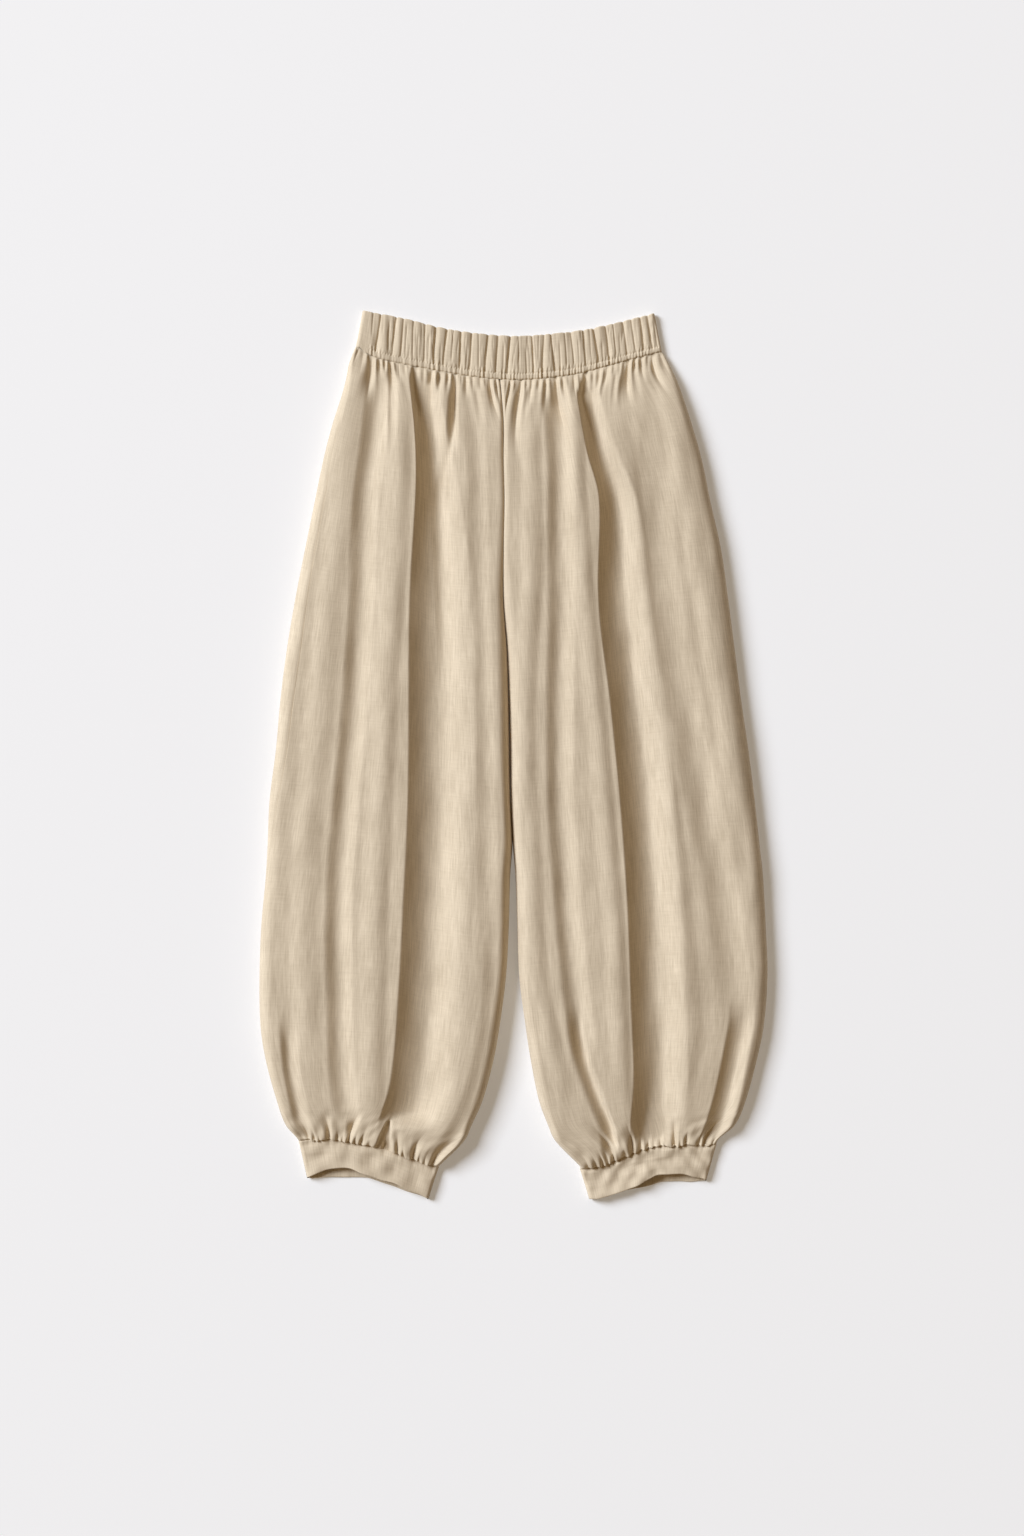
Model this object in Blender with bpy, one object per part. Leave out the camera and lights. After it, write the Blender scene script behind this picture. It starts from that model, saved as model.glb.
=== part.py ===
"""Linen balloon trousers with a gathered elastic waist and gathered cuffs, laid flat and face up.

+X points to the wearer's left, +Y up to the waist and +Z away from the surface that the trousers lie on.
The origin is at the middle of the underside. Left and right are the wearer's own, so the right leg is at -X.
The sizes in the tables are millimetres.
"""

import math

import bmesh
import bpy

MM = 0.001

# Cloth
PANEL_WALL = 1.2
BAND_WALL = 3.0
CUFF_WALL = 2.0
SEAM_HALF_GAP = 0.17

# The whole garment: a row for each level, and the x of each line that runs down it
LEVEL_COLUMNS = ("right_side", "right_seam", "right_fold", "right_inner", "left_inner", "left_fold", "left_side")
LEVELS = (
    # y, right side, right side seam, right deep fold, right inner, left inner, left deep fold, left side
    (450, -173, -170, -108, -15, -15, 77, 160),
    (429, -181, -178, -107, -15, -15, 77, 171),
    (413, -184, -181, -106, -15, -15, 78, 179),
    (391, -190, -184, -105, -13, -13, 80, 187),
    (363, -199, -190, -104, -11, -11, 84, 196),
    (324, -209, -199, -103, -11, -11, 91, 207),
    (280, -218, -206, -102, -10, -10, 101, 216),
    (226, -229, -216, -102, -11, -11, 105, 228),
    (170, -240, -225, -101, -11, -11, 107, 236),
    (116, -249, -232, -101, -7, -7, 111, 243),
    (61, -256, -240, -101, -5, -5, 117, 250),
    (6, -261, -247, -103, -4, -4, 122, 258),
    (-50, -268, -257, -105, -3, -3, 127, 265),
    (-96, -270, -264, -106, -1, -1, 131, 270),
    (-132, -272, -269, -107, -3.5, 2, 134, 274),
    (-187, -277, -275, -110, -5, 4, 138, 277),
    (-242, -279, -277, -113, -8, 6, 140, 279),
    (-297, -278, -276, -117, -15, 13, 141, 275),
    (-336, -272, -270, -121, -22, 19, 141, 267),
    (-380, -260, -258, -127, -34, 28, 142, 255),
    (-407, -250, -248, -133, -46, 38, 144, 243),
    (-424, -236, -234, -139, -54, 46, 146, 224),
    (-452, -231, -229, -145, -82, 73, 148, 221),
)

CROTCH_Y = -96
WAIST_INNER = -15

# The seam below the waistband and the waistband's upper edge, as (x, y)
WAIST_SEAM = ((-173, 450), (-155, 438), (-119, 429), (-83, 422), (-48, 416), (0, 412), (36, 414), (72, 419),
              (95, 425), (131, 435), (163, 443))
WAIST_TOP = ((-166, 487), (-119, 478), (-83, 469), (-48, 463), (0, 459), (36, 461), (72, 465), (107, 472),
             (131, 478), (155, 484))

# The cuffs' upper seams and lower edges, as (x, y)
HEM_SEAM = {
    "right": ((-236, -424), (-223, -422), (-200, -422), (-183, -424), (-157, -429), (-129, -437), (-98, -448),
              (-82, -453)),
    "left": ((73, -455), (95, -451), (122, -441), (147, -431), (184, -428), (223, -428)),
}
CUFF_FRONT_EDGE = {
    "right": ((-227, -463), (-215, -458), (-202, -454), (-188, -452), (-178, -453), (-166, -459), (-147, -465),
              (-119, -476), (-93, -486)),
    "left": ((83, -487), (93, -486), (108, -482), (133, -473), (146, -466), (159, -460), (177, -459), (190, -460),
             (212, -466)),
}
CUFF_BACK_EDGE = {
    "right": ((-227, -464), (-215, -464), (-196, -462), (-166, -462), (-153, -464), (-129, -473), (-93, -487)),
    "left": ((83, -487.3), (102, -485), (123, -478), (152, -472), (165, -468), (190, -468), (212, -467)),
}

# Height of a leg's upper side down its length: share of the length, middle, side edge, half height of the edge,
# radius of the edge
PUFF = (
    (0.000, 6.4, 6.4, 4.0, 3.5),
    (0.012, 9.5, 8.5, 4.1, 4.5),
    (0.035, 16.0, 12.5, 4.4, 7.0),
    (0.080, 23.0, 16.5, 5.0, 10.0),
    (0.160, 27.0, 19.0, 5.5, 13.0),
    (0.350, 28.0, 20.0, 5.5, 15.0),
    (0.650, 27.0, 20.0, 5.5, 15.0),
    (0.850, 26.0, 19.0, 5.5, 14.0),
    (0.930, 22.0, 16.0, 5.2, 10.0),
    (0.970, 15.5, 12.0, 4.8, 6.5),
    (1.000, 8.6, 8.4, 4.4, 3.5),
)

# The centre front seam: level, how far it lies below the cloth beside it, radius of that cloth's turn
CENTRE_FRONT = (
    (450, 2.8, 2.8),
    (400, 4.0, 4.0),
    (215, 5.0, 4.5),
    (170, 9.0, 6.0),
    (60, 18.0, 8.0),
    (-96, 22.0, 10.0),
)

# Large folds of the fronts: name, leg, width of its -X side, width of its +X side, depth (a ridge is negative),
# lip on its -X side, fade at the upper and lower end, then its path as (y, x)
FOLDS = (
    ("outer_valley", "right", 17, 15, 6.0, 0.0, 30, 60,
     ((410, -146), (335, -154), (280, -161), (170, -166), (60, -173), (-50, -183), (-160, -191), (-270, -190),
      (-357, -187), (-395, -182))),
    ("outer_ridge", "right", 18, 20, -3.0, 0.0, 40, 80,
     ((400, -176), (280, -190), (61, -212), (-116, -228), (-330, -228))),
    ("middle_ridge", "right", 20, 16, -3.5, 0.0, 40, 40,
     ((390, -124), (215, -130), (61, -143), (-160, -155), (-390, -160))),
    ("deep_fold", "right", 17, 27, 17.0, 1.0, 20, 20,
     ((428, -107), (280, -102), (61, -101), (-50, -105), (-160, -108), (-248, -113), (-336, -121), (-428, -140))),
    ("short_fold", "right", 5, 10, 7.0, 1.5, 15, 50, ((421, -63), (369, -67), (330, -71), (285, -81))),
    ("inner_valley", "right", 14, 12, 5.0, 0.0, 40, 80,
     ((391, -43), (302, -38), (215, -37), (61, -32), (-105, -28), (-200, -28))),
    ("inner_ridge", "right", 22, 18, -3.0, 0.0, 60, 60, ((260, -62), (60, -62), (-150, -60), (-330, -75))),
    ("knee_valley", "right", 12, 14, 7.0, 0.0, 60, 14,
     ((-190, -14), (-270, -20), (-314, -26), (-363, -38), (-407, -56), (-440, -86))),
    ("corner_valley", "right", 9, 11, 6.0, 0.0, 25, 25, ((-300, -251), (-352, -244), (-410, -231))),
    ("small_fold", "right", 5, 8, 4.0, 1.0, 20, 30, ((415, -133), (350, -134))),
    ("inner_valley", "left", 12, 14, 8.0, 0.0, 15, 30,
     ((415, 40), (335, 50), (280, 51), (170, 52), (60, 50), (-50, 51), (-160, 58), (-248, 66), (-320, 76))),
    ("inner_ridge", "left", 14, 14, -3.5, 0.0, 40, 60,
     ((380, 15), (215, 16), (38, 8), (-100, 14), (-250, 24), (-350, 46))),
    ("lower_fold", "left", 7, 13, 9.0, 0.0, 35, 20, ((-300, 71), (-352, 84), (-385, 97), (-430, 111))),
    ("middle_ridge", "left", 16, 12, -3.0, 0.0, 30, 40,
     ((400, 62), (258, 72), (100, 86), (-50, 100), (-200, 112), (-380, 119))),
    ("deep_fold", "left", 14, 28, 17.0, 1.0, 20, 20,
     ((425, 77), (380, 81), (324, 91), (237, 105), (127, 110), (16, 121), (-94, 131), (-204, 139), (-270, 141),
      (-358, 141), (-430, 146))),
    ("outer_ridge", "left", 16, 18, -3.0, 0.0, 40, 60,
     ((350, 116), (200, 134), (50, 150), (-100, 172), (-300, 190), (-390, 175))),
    ("outer_valley", "left", 22, 18, 6.0, 0.0, 60, 60,
     ((314, 146), (258, 152), (193, 162), (127, 173), (38, 192), (-72, 213), (-160, 231), (-270, 244))),
    ("corner_fold", "left", 6, 15, 9.0, 1.5, 30, 20, ((-290, 236), (-340, 226), (-393, 214), (-432, 204))),
    ("side_ridge", "left", 16, 18, -3.0, 0.0, 40, 80, ((391, 170), (314, 180), (226, 195), (100, 215), (-50, 240))),
    ("centre_fold", "left", 4, 7, 4.0, 0.5, 10, 40, ((410, -2), (369, 5), (320, 8))),
    ("second_fold", "left", 4, 7, 3.5, 0.5, 10, 30, ((413, 19), (370, 20))),
    ("third_fold", "left", 4, 8, 5.0, 1.0, 10, 50, ((428, 124), (391, 127), (336, 130))),
    ("fourth_fold", "left", 5, 9, 6.0, 1.0, 10, 50, ((430, 141), (385, 151), (314, 159))),
)

# Gathers: x of each groove at the waist seam and at the hem seam, from the side to the deep fold to the inner edge
WAIST_GATHERS = {
    "right": ((-164, -156, -147, -135, -122), -108,
              (-98, -89, -80, -71, -63, -56, -48, -39, -32, -26, -20)),
    "left": ((160, 150, 140, 131, 123, 108, 98), 77, (65, 53, 42, 35, 20, 7, -3)),
}
HEM_GATHERS = {
    "right": ((-225, -216, -205, -193, -184, -175, -165), -145, (-128, -118, -108, -98, -90)),
    "left": ((213, 205, 196, 188, 180, 171, 162), 148, (140, 131, 123, 111, 100, 92, 83)),
}
GATHER_SPREAD = {"waist": 46.0, "hem": 34.0}
GATHER_DEPTH = {"waist": 3.0, "hem": 3.2}

# The side seams' distance from the side at the waistband and at the cuffs
SEAM_INSET = {"right": 3.0, "left": 0.0}

# Pleats of the elastic casing: x of each groove at the seam and at the upper edge
BAND_PLEATS = (
    (-156, -153), (-149, -146), (-140, -136), (-132, -128), (-125, -120), (-117, -115), (-107, -105), (-98, -96),
    (-89, -87), (-79, -76), (-69, -65), (-59, -56), (-50, -46), (-39, -38), (-30, -27), (-20, -16), (-7, -4),
    (6, 6), (22, 20), (33, 34), (43, 42), (53, 51), (64, 61), (78, 76), (90, 87), (103, 100), (115, 110),
    (128, 122), (137, 131), (147, 141), (157, 149),
)
BAND_TOP = 8.2
BAND_EDGE = 4.1
BAND_EDGE_RADIUS = 4.0
PLEAT_DEPTH = 1.0

# The cuffs: height of the upper side at the seam and at the middle of the lower edge, half height of the ends
CUFF_TOP = 8.8
CUFF_ARCH = 12.5
CUFF_EDGE = 4.4
CUFF_EDGE_RADIUS = 4.0
CUFF_GROOVE = 0.5

# Troughs of the backs, which rise from the flat underside
BACK_FOLDS = (
    # leg, half width, height, y of the upper end, y of the lower end, x at each
    ("right", 9, 1.8, 425, 120, -130, -150),
    ("right", 8, 1.8, 425, 230, -60, -62),
    ("right", 9, 1.8, -60, -430, -190, -170),
    ("right", 8, 1.8, -200, -440, -90, -118),
    ("left", 9, 1.8, 425, 100, 118, 150),
    ("left", 8, 1.8, 425, 210, 50, 58),
    ("left", 9, 1.8, -80, -430, 200, 178),
    ("left", 8, 1.8, -210, -440, 92, 112),
)
BACK_GATHER_HEIGHT = 1.2

# Columns and rows of the panels' grids
HALF_COLUMNS = 12
BACK_COLUMNS = 14
BACK_TURN_COLUMNS = 4
BAND_COLUMNS = 93
CUFF_COLUMNS = 26
UPPER_ROWS = (0.0, 3.0, 9.0, 18.0, 31.0, 48.0)
LOWER_ROWS = (34.0, 19.0, 8.0, 0.0)
MIDDLE_ROWS = 17
LINEN = (0.66, 0.55, 0.40)


def curve_at(points, t):
    """A smooth curve through (t, value) points, level beyond its ends."""
    if t <= points[0][0]:
        return points[0][1]
    if t >= points[-1][0]:
        return points[-1][1]
    k = next(i for i in range(1, len(points)) if t <= points[i][0]) - 1
    (t0, a), (t1, b) = points[k], points[k + 1]
    step = t1 - t0
    before = points[k - 1] if k else points[k]
    after = points[k + 2] if k + 2 < len(points) else points[k + 1]
    slope_a = (b - before[1]) / (t1 - before[0])
    slope_b = (after[1] - a) / (after[0] - t0)
    s = (t - t0) / step
    return (
        a * (2 * s**3 - 3 * s**2 + 1)
        + b * (3 * s**2 - 2 * s**3)
        + slope_a * step * (s**3 - 2 * s**2 + s)
        + slope_b * step * (s**3 - s**2)
    )


def ramp(low, high, value):
    s = min(max((value - low) / (high - low), 0.0), 1.0)
    return s * s * (3 - 2 * s)


def within(value, one_end, other_end):
    return min(max(value, min(one_end, other_end)), max(one_end, other_end))


LEVEL_LINES = {
    name: tuple(sorted((row[0], row[k + 1]) for row in LEVELS)) for k, name in enumerate(LEVEL_COLUMNS)
}
FOLD_PATHS = tuple(tuple(sorted(row[8])) for row in FOLDS)


def across(leg):
    """1 where the inside of the leg lies towards +X of its side, else -1."""
    return 1 if leg == "right" else -1


def bump(offset, minus_width, plus_width):
    s = abs(offset) / (minus_width if offset < 0 else plus_width)
    return (1 - s * s) ** 2 if s < 1 else 0.0


def puff(share, column):
    return curve_at(tuple((row[0], row[column]) for row in PUFF), share)


def section(leg, y, share):
    """The sizes of one section of a leg at level y."""
    side = curve_at(LEVEL_LINES[leg + "_side"], y)
    inner = curve_at(LEVEL_LINES[leg + "_inner"], y) - across(leg) * SEAM_HALF_GAP
    below = ramp(CROTCH_Y + 45, CROTCH_Y, y) if y > CROTCH_Y else 1.0
    radius = puff(share, 4)
    edge = puff(share, 3)
    middle = puff(share, 1)
    drop = curve_at(tuple(sorted((row[0], row[1]) for row in CENTRE_FRONT)), y)
    turn = curve_at(tuple(sorted((row[0], row[2]) for row in CENTRE_FRONT)), y)
    centre_height = max(middle - drop, 3.6)
    return {
        "side": side,
        "inner": inner,
        "width": abs(inner - side),
        "share": share,
        "radius": radius,
        "edge": edge,
        "inner_edge": centre_height + (edge - centre_height) * below,
        "inner_radius": turn + (min(radius, 11.0) - turn) * below,
        "back_inner_edge": edge * below,
    }


def quarter(radius, height):
    """Length given to a rounded edge in a path across the cloth."""
    return 0.8 * (radius + height)


def gather_wave(table, leg, x):
    """0 between two grooves and 1 in a groove, at x along a seam."""
    outer, deep, inner = table[leg]
    grooves = sorted(outer + (deep,) + inner)
    best = 0.0
    for k, groove in enumerate(grooves):
        gap_before = groove - grooves[k - 1] if k else 10.0
        gap_after = grooves[k + 1] - groove if k + 1 < len(grooves) else 10.0
        best = max(best, bump(x - groove, 0.5 * gap_before, 0.5 * gap_after))
    return best


def front_height(leg, x, y, sizes, seam_distance, hem_distance, x_seam, x_hem):
    """Height of the front's upper side, without its rounded edges."""
    share = sizes["share"]
    across_share = min(max(abs(x - sizes["side"]) / sizes["width"], 0.0), 1.0)
    dome = math.sin(math.pi * min(across_share * 1.25 + 0.08, 1.0) * 0.5) ** 2
    height = puff(share, 2) + (puff(share, 1) - puff(share, 2)) * dome
    calm = ramp(0, 34, seam_distance) * ramp(0, 26, hem_distance)
    for row, path in zip(FOLDS, FOLD_PATHS):
        name, fold_leg, minus_width, plus_width, depth, lip, fade_up, fade_down = row[:8]
        if fold_leg != leg or not path[0][0] - fade_down < y < path[-1][0] + fade_up:
            continue
        offset = x - curve_at(path, y)
        if not -minus_width - 18 < offset < plus_width:
            continue
        fade = ramp(path[0][0] - fade_down, path[0][0] + fade_down, y)
        fade *= 1 - ramp(path[-1][0] - fade_up, path[-1][0] + fade_up, y)
        height -= depth * fade * calm * bump(offset, minus_width, plus_width)
        height += lip * fade * calm * bump(offset + minus_width + 5, 10, 8)
    for kind, table, at, distance in (
        ("waist", WAIST_GATHERS, x_seam, seam_distance),
        ("hem", HEM_GATHERS, x_hem, hem_distance),
    ):
        spread = GATHER_SPREAD[kind]
        if distance < spread:
            rise = 0.35 + 0.65 * ramp(0, 0.25 * spread, distance)
            fade = 1 - ramp(0.25 * spread, spread, distance)
            height -= GATHER_DEPTH[kind] * rise * fade * gather_wave(table, leg, at)
    floor = 5.6
    return 0.5 * (height + floor + math.sqrt((height - floor) ** 2 + 3.0))


def ease(share):
    return 0.2 * share + 0.8 * share * share * (3 - 2 * share)


def columns_at_seam(table, leg, u, first, last):
    """x at share u of a seam, from its side end to its inner end."""
    outer, deep, inner = table[leg]
    stops = (first,) + outer + (deep,)
    if u > 0.5:
        stops = (deep,) + inner + (last,)
        u -= 0.5
    at = 2 * u * (len(stops) - 1)
    k = min(int(at), len(stops) - 2)
    return stops[k] + (stops[k + 1] - stops[k]) * (at - k)


def top_path(sizes, p):
    """Distance from the side, and the share of each rounded edge, at p along the upper side."""
    a = quarter(sizes["radius"], 12)
    b = quarter(sizes["inner_radius"], 12)
    flat = sizes["width"] - sizes["radius"] - sizes["inner_radius"]
    if p < a:
        angle = 0.5 * math.pi * p / a
        return sizes["radius"] * (1 - math.cos(angle)), math.sin(angle), 1.0
    if p > a + flat:
        angle = 0.5 * math.pi * max(a + flat + b - p, 0.0) / b
        return sizes["width"] - sizes["inner_radius"] * (1 - math.cos(angle)), 1.0, math.sin(angle)
    return sizes["radius"] + p - a, 1.0, 1.0


def top_length(sizes):
    return (
        quarter(sizes["radius"], 12)
        + quarter(sizes["inner_radius"], 12)
        + sizes["width"]
        - sizes["radius"]
        - sizes["inner_radius"]
    )


def p_of_distance(sizes, distance):
    """p along the upper side at a distance from the side."""
    a = quarter(sizes["radius"], 12)
    b = quarter(sizes["inner_radius"], 12)
    if distance < sizes["radius"]:
        return a * math.acos(1 - distance / sizes["radius"]) / (0.5 * math.pi)
    left = sizes["width"] - distance
    if left < sizes["inner_radius"]:
        return top_length(sizes) - b * math.acos(1 - left / sizes["inner_radius"]) / (0.5 * math.pi)
    return a + distance - sizes["radius"]


def leg_levels(leg, x_seam, x_hem, share):
    """y at a share of the length between the two seams."""
    upper = curve_at(WAIST_SEAM, x_seam) - SEAM_HALF_GAP
    lower = curve_at(HEM_SEAM[leg], x_hem) + SEAM_HALF_GAP
    return upper + (lower - upper) * share, upper, lower


def top_point(leg, p, y, share, seam_distance, hem_distance, x_seam, x_hem):
    """A point of the front's upper side at p across it."""
    sizes = section(leg, y, share)
    distance, side_share, inner_share = top_path(sizes, p)
    x = sizes["side"] + across(leg) * distance
    height = front_height(leg, x, y, sizes, seam_distance, hem_distance, x_seam, x_hem)
    height = sizes["edge"] + (height - sizes["edge"]) * side_share
    height = sizes["inner_edge"] + (height - sizes["inner_edge"]) * inner_share
    return x, y, height


def leg_ends(leg):
    """x of the side at the waist seam, and of the side and the inner edge at the hem seam."""
    if leg == "right":
        return WAIST_SEAM[0][0], HEM_SEAM[leg][0][0], HEM_SEAM[leg][-1][0]
    return WAIST_SEAM[-1][0], HEM_SEAM[leg][-1][0], HEM_SEAM[leg][0][0]


def leg_seam_ends(leg):
    """x of a front's first and last column at the waist seam and at the hem seam."""
    side_at_seam, side_at_hem, inner_at_hem = leg_ends(leg)
    inset = SEAM_INSET[leg]
    return (side_at_seam + inset, WAIST_INNER), (side_at_hem + inset, inner_at_hem)


def leg_frame(leg, u, share):
    """Where column u crosses the two seams, and its level at a share of the length."""
    waist_ends, hem_ends = leg_seam_ends(leg)
    x_seam = columns_at_seam(WAIST_GATHERS, leg, u, *waist_ends)
    x_hem = columns_at_seam(HEM_GATHERS, leg, u, *hem_ends)
    y, upper, lower = leg_levels(leg, x_seam, x_hem, share)
    return x_seam, x_hem, y, upper, lower


def seam_start(leg, sizes, y):
    """p of the side seam along the upper side."""
    if leg == "left":
        return 0.0
    return p_of_distance(sizes, curve_at(LEVEL_LINES["right_seam"], y) - sizes["side"])


def front_point(leg, u, share):
    """A point of a front's upper side: u from its side seam to its inner seam, share from waist to hem."""
    x_seam, x_hem, y, upper, lower = leg_frame(leg, u, share)
    sizes = section(leg, y, share)
    start = seam_start(leg, sizes, y) + SEAM_HALF_GAP
    end = top_length(sizes) - SEAM_HALF_GAP
    fold = abs(curve_at(LEVEL_LINES[leg + "_fold"], y) - sizes["side"])
    middle = p_of_distance(sizes, fold)
    if u < 0.5:
        even = start + (middle - start) * ease(2 * u)
    else:
        even = middle + (end - middle) * ease(2 * u - 1)
    p = even
    length = upper - lower
    low, high = top_path(sizes, start)[0], top_path(sizes, end)[0]
    for near, x, ends in (
        (1 - ramp(0, 70, share * length), x_seam, leg_seam_ends(leg)[0]),
        (1 - ramp(0, 50, (1 - share) * length), x_hem, leg_seam_ends(leg)[1]),
    ):
        if near:
            part = (x - ends[0]) / (ends[1] - ends[0])
            gathered = low + (high - low) * part
            inside = ramp(0, 0.08, part) * (1 - ramp(0.92, 1, part))
            gathered += (abs(x - sizes["side"]) - gathered) * inside
            p += (p_of_distance(sizes, gathered) - even) * near
    return top_point(leg, p, y, share, share * length, (1 - share) * length, x_seam, x_hem)


def back_height(leg, x, y, seam_distance, hem_distance):
    """Height of the troughs in the back's underside."""
    height = 0.0
    for fold_leg, half, rise, y_up, y_low, x_up, x_low in BACK_FOLDS:
        if fold_leg == leg and y_low - 30 < y < y_up + 30:
            along = (y - y_up) / (y_low - y_up)
            fade = ramp(y_low - 30, y_low + 50, y) * (1 - ramp(y_up - 50, y_up + 30, y))
            height = max(height, rise * fade * bump(x - x_up - (x_low - x_up) * along, half, half))
    for table, distance in ((WAIST_GATHERS, seam_distance), (HEM_GATHERS, hem_distance)):
        if distance < 40:
            height = max(height, BACK_GATHER_HEIGHT * (1 - ramp(12, 40, distance)) * gather_wave(table, leg, x))
    return height


def back_place(leg, sizes, u, y):
    """Distance from the side, height, and p on the upper side where there is one, at column u of a back."""
    radius, edge, width = sizes["radius"], sizes["edge"], sizes["width"]
    turn = quarter(radius, edge)
    flat = width - 2 * radius
    low = SEAM_HALF_GAP - seam_start(leg, sizes, y)
    if leg == "left":
        low = SEAM_HALF_GAP
    high = 2 * turn + flat - SEAM_HALF_GAP
    if u < BACK_TURN_COLUMNS / BACK_COLUMNS:
        q = low + (turn - low) * u * BACK_COLUMNS / BACK_TURN_COLUMNS
    else:
        q = high - (high - turn) * (1 - u) / (1 - BACK_TURN_COLUMNS / BACK_COLUMNS)
    if q < 0:
        return top_path(sizes, -q)[0], 0.0, -q
    if q < turn:
        angle = 0.5 * math.pi * q / turn
        return radius * (1 - math.cos(angle)), edge * (1 - math.sin(angle)), None
    if q > turn + flat:
        angle = 0.5 * math.pi * (2 * turn + flat - q) / turn
        return width - radius * (1 - math.cos(angle)), sizes["back_inner_edge"] * (1 - math.sin(angle)), None
    return radius + q - turn, 0.0, None


def back_point(leg, u, share):
    """A point of a back's outer side, which goes from the side seam round the edge and under the leg."""
    side_at_seam, side_at_hem, inner_at_hem = leg_ends(leg)
    part, x, near_seam, near_hem = u, 0.0, 0.0, 0.0
    for _ in range(5):
        x_seam = side_at_seam + (WAIST_INNER - side_at_seam) * part
        x_hem = side_at_hem + (inner_at_hem - side_at_hem) * part
        x_seam += (within(x, side_at_seam, WAIST_INNER) - x_seam) * near_seam
        x_hem += (within(x, side_at_hem, inner_at_hem) - x_hem) * near_hem
        y, upper, lower = leg_levels(leg, x_seam, x_hem, share)
        sizes = section(leg, y, share)
        distance, height, p = back_place(leg, sizes, u, y)
        part = distance / sizes["width"]
        x = sizes["side"] + across(leg) * distance
        seam_distance, hem_distance = share * (upper - lower), (1 - share) * (upper - lower)
        inside = ramp(0, 0.08, part) * (1 - ramp(0.92, 1, part))
        near_seam = (1 - ramp(0, 70, seam_distance)) * inside
        near_hem = (1 - ramp(0, 50, hem_distance)) * inside
    if p is not None:
        return top_point(leg, p, y, share, seam_distance, hem_distance, x_seam, x_hem)
    return x, y, height + bump(part - 0.5, 0.5, 0.5) * back_height(leg, x, y, seam_distance, hem_distance)


def strip_point(shape, u, share):
    """A point of a band's outer side, from its -X end to its +X end and from its upper edge to its lower one."""
    minus_end = shape["minus"][0] + (shape["minus"][1] - shape["minus"][0]) * share
    plus_end = shape["plus"][0] + (shape["plus"][1] - shape["plus"][0]) * share
    width = plus_end - minus_end
    radius, edge = shape["radius"], shape["edge"]
    turn = quarter(radius, edge)
    total = 2 * turn + width - 2 * radius
    p = SEAM_HALF_GAP + (total - 2 * SEAM_HALF_GAP) * u
    distance, part = radius + p - turn, 1.0
    if p < turn:
        angle = 0.5 * math.pi * p / turn
        distance, part = radius * (1 - math.cos(angle)), math.sin(angle)
    elif p > total - turn:
        angle = 0.5 * math.pi * (total - p) / turn
        distance, part = width - radius * (1 - math.cos(angle)), math.sin(angle)
    x = minus_end + distance
    upper, lower = curve_at(shape["upper"], x), curve_at(shape["lower"], x)
    far = 0.0 if shape["below"] else shape["top"] + shape["arch"] * bump(distance / width - 0.5, 0.5, 0.5) * share
    height = edge + (far - edge) * part
    groove = shape["groove"] * part * part * strip_groove(shape["pleats"], x, share)
    return x, upper + (lower - upper) * share, height + (groove if shape["below"] else -groove)


def strip_groove(pleats, x, share):
    """0 between two pleats of a band and 1 in a pleat's groove."""
    at = [low + (high - low) * (1 - share) for low, high in pleats]
    best = 0.0
    for k, groove in enumerate(at):
        before = groove - at[k - 1] if k else 9.0
        after = at[k + 1] - groove if k + 1 < len(at) else 9.0
        best = max(best, bump(x - groove, 0.5 * before, 0.5 * after))
    return best


def solid_from(name, columns, rows, wall, point, fine=None):
    """A closed wall whose outer side is point(u, v), with u and v from 0 to 1, on a grid of rows and columns.

    fine(u, row) gives the number of cuts of each stretch of a row.
    """
    grid = bmesh.new()
    bmesh.ops.create_grid(grid, x_segments=columns, y_segments=len(rows) - 1, size=0.5)
    for vertex in grid.verts:
        vertex.co.x += 0.5
        vertex.co.y = round((vertex.co.y + 0.5) * (len(rows) - 1))
    if fine:
        for cuts in (1, 2):
            edges = [
                edge
                for edge in grid.edges
                if abs(edge.verts[0].co.y - edge.verts[1].co.y) < 0.5
                and fine((edge.verts[0].co.x + edge.verts[1].co.x) / 2, round(edge.verts[0].co.y)) == cuts
                and abs(edge.verts[0].co.x - edge.verts[1].co.x) > 0.9 / columns
            ]
            if edges:
                bmesh.ops.subdivide_edges(grid, edges=edges, cuts=cuts, use_grid_fill=True)
    for vertex in grid.verts:
        vertex.co.y = rows[round(vertex.co.y)]
    made = bmesh.ops.extrude_face_region(grid, geom=list(grid.faces), use_keep_orig=True)
    for item in made["geom"]:
        if isinstance(item, bmesh.types.BMVert):
            item.co.z = 1.0
    bmesh.ops.triangulate(grid, faces=[face for face in grid.faces if len(face.verts) > 4])
    for vertex in grid.verts:
        u, v, layer = vertex.co
        vertex.co = wall_point(point, u, v, wall * (1 - layer))
    bmesh.ops.recalc_face_normals(grid, faces=list(grid.faces))
    if grid.calc_volume(signed=True) < 0:
        bmesh.ops.reverse_faces(grid, faces=list(grid.faces))
    mesh = bpy.data.meshes.new(name)
    grid.to_mesh(mesh)
    grid.free()
    mesh.shade_smooth()
    mesh.set_sharp_from_angle(angle=math.radians(50))
    thing = bpy.data.objects.new(name, mesh)
    bpy.context.scene.collection.objects.link(thing)
    material = bpy.data.materials.new(name + "_linen")
    material.use_nodes = True
    shader = material.node_tree.nodes["Principled BSDF"]
    shader.inputs["Base Color"].default_value = (*LINEN, 1)
    shader.inputs["Roughness"].default_value = 0.85
    shader.inputs["Metallic"].default_value = 0.0
    mesh.materials.append(material)
    return thing


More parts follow.
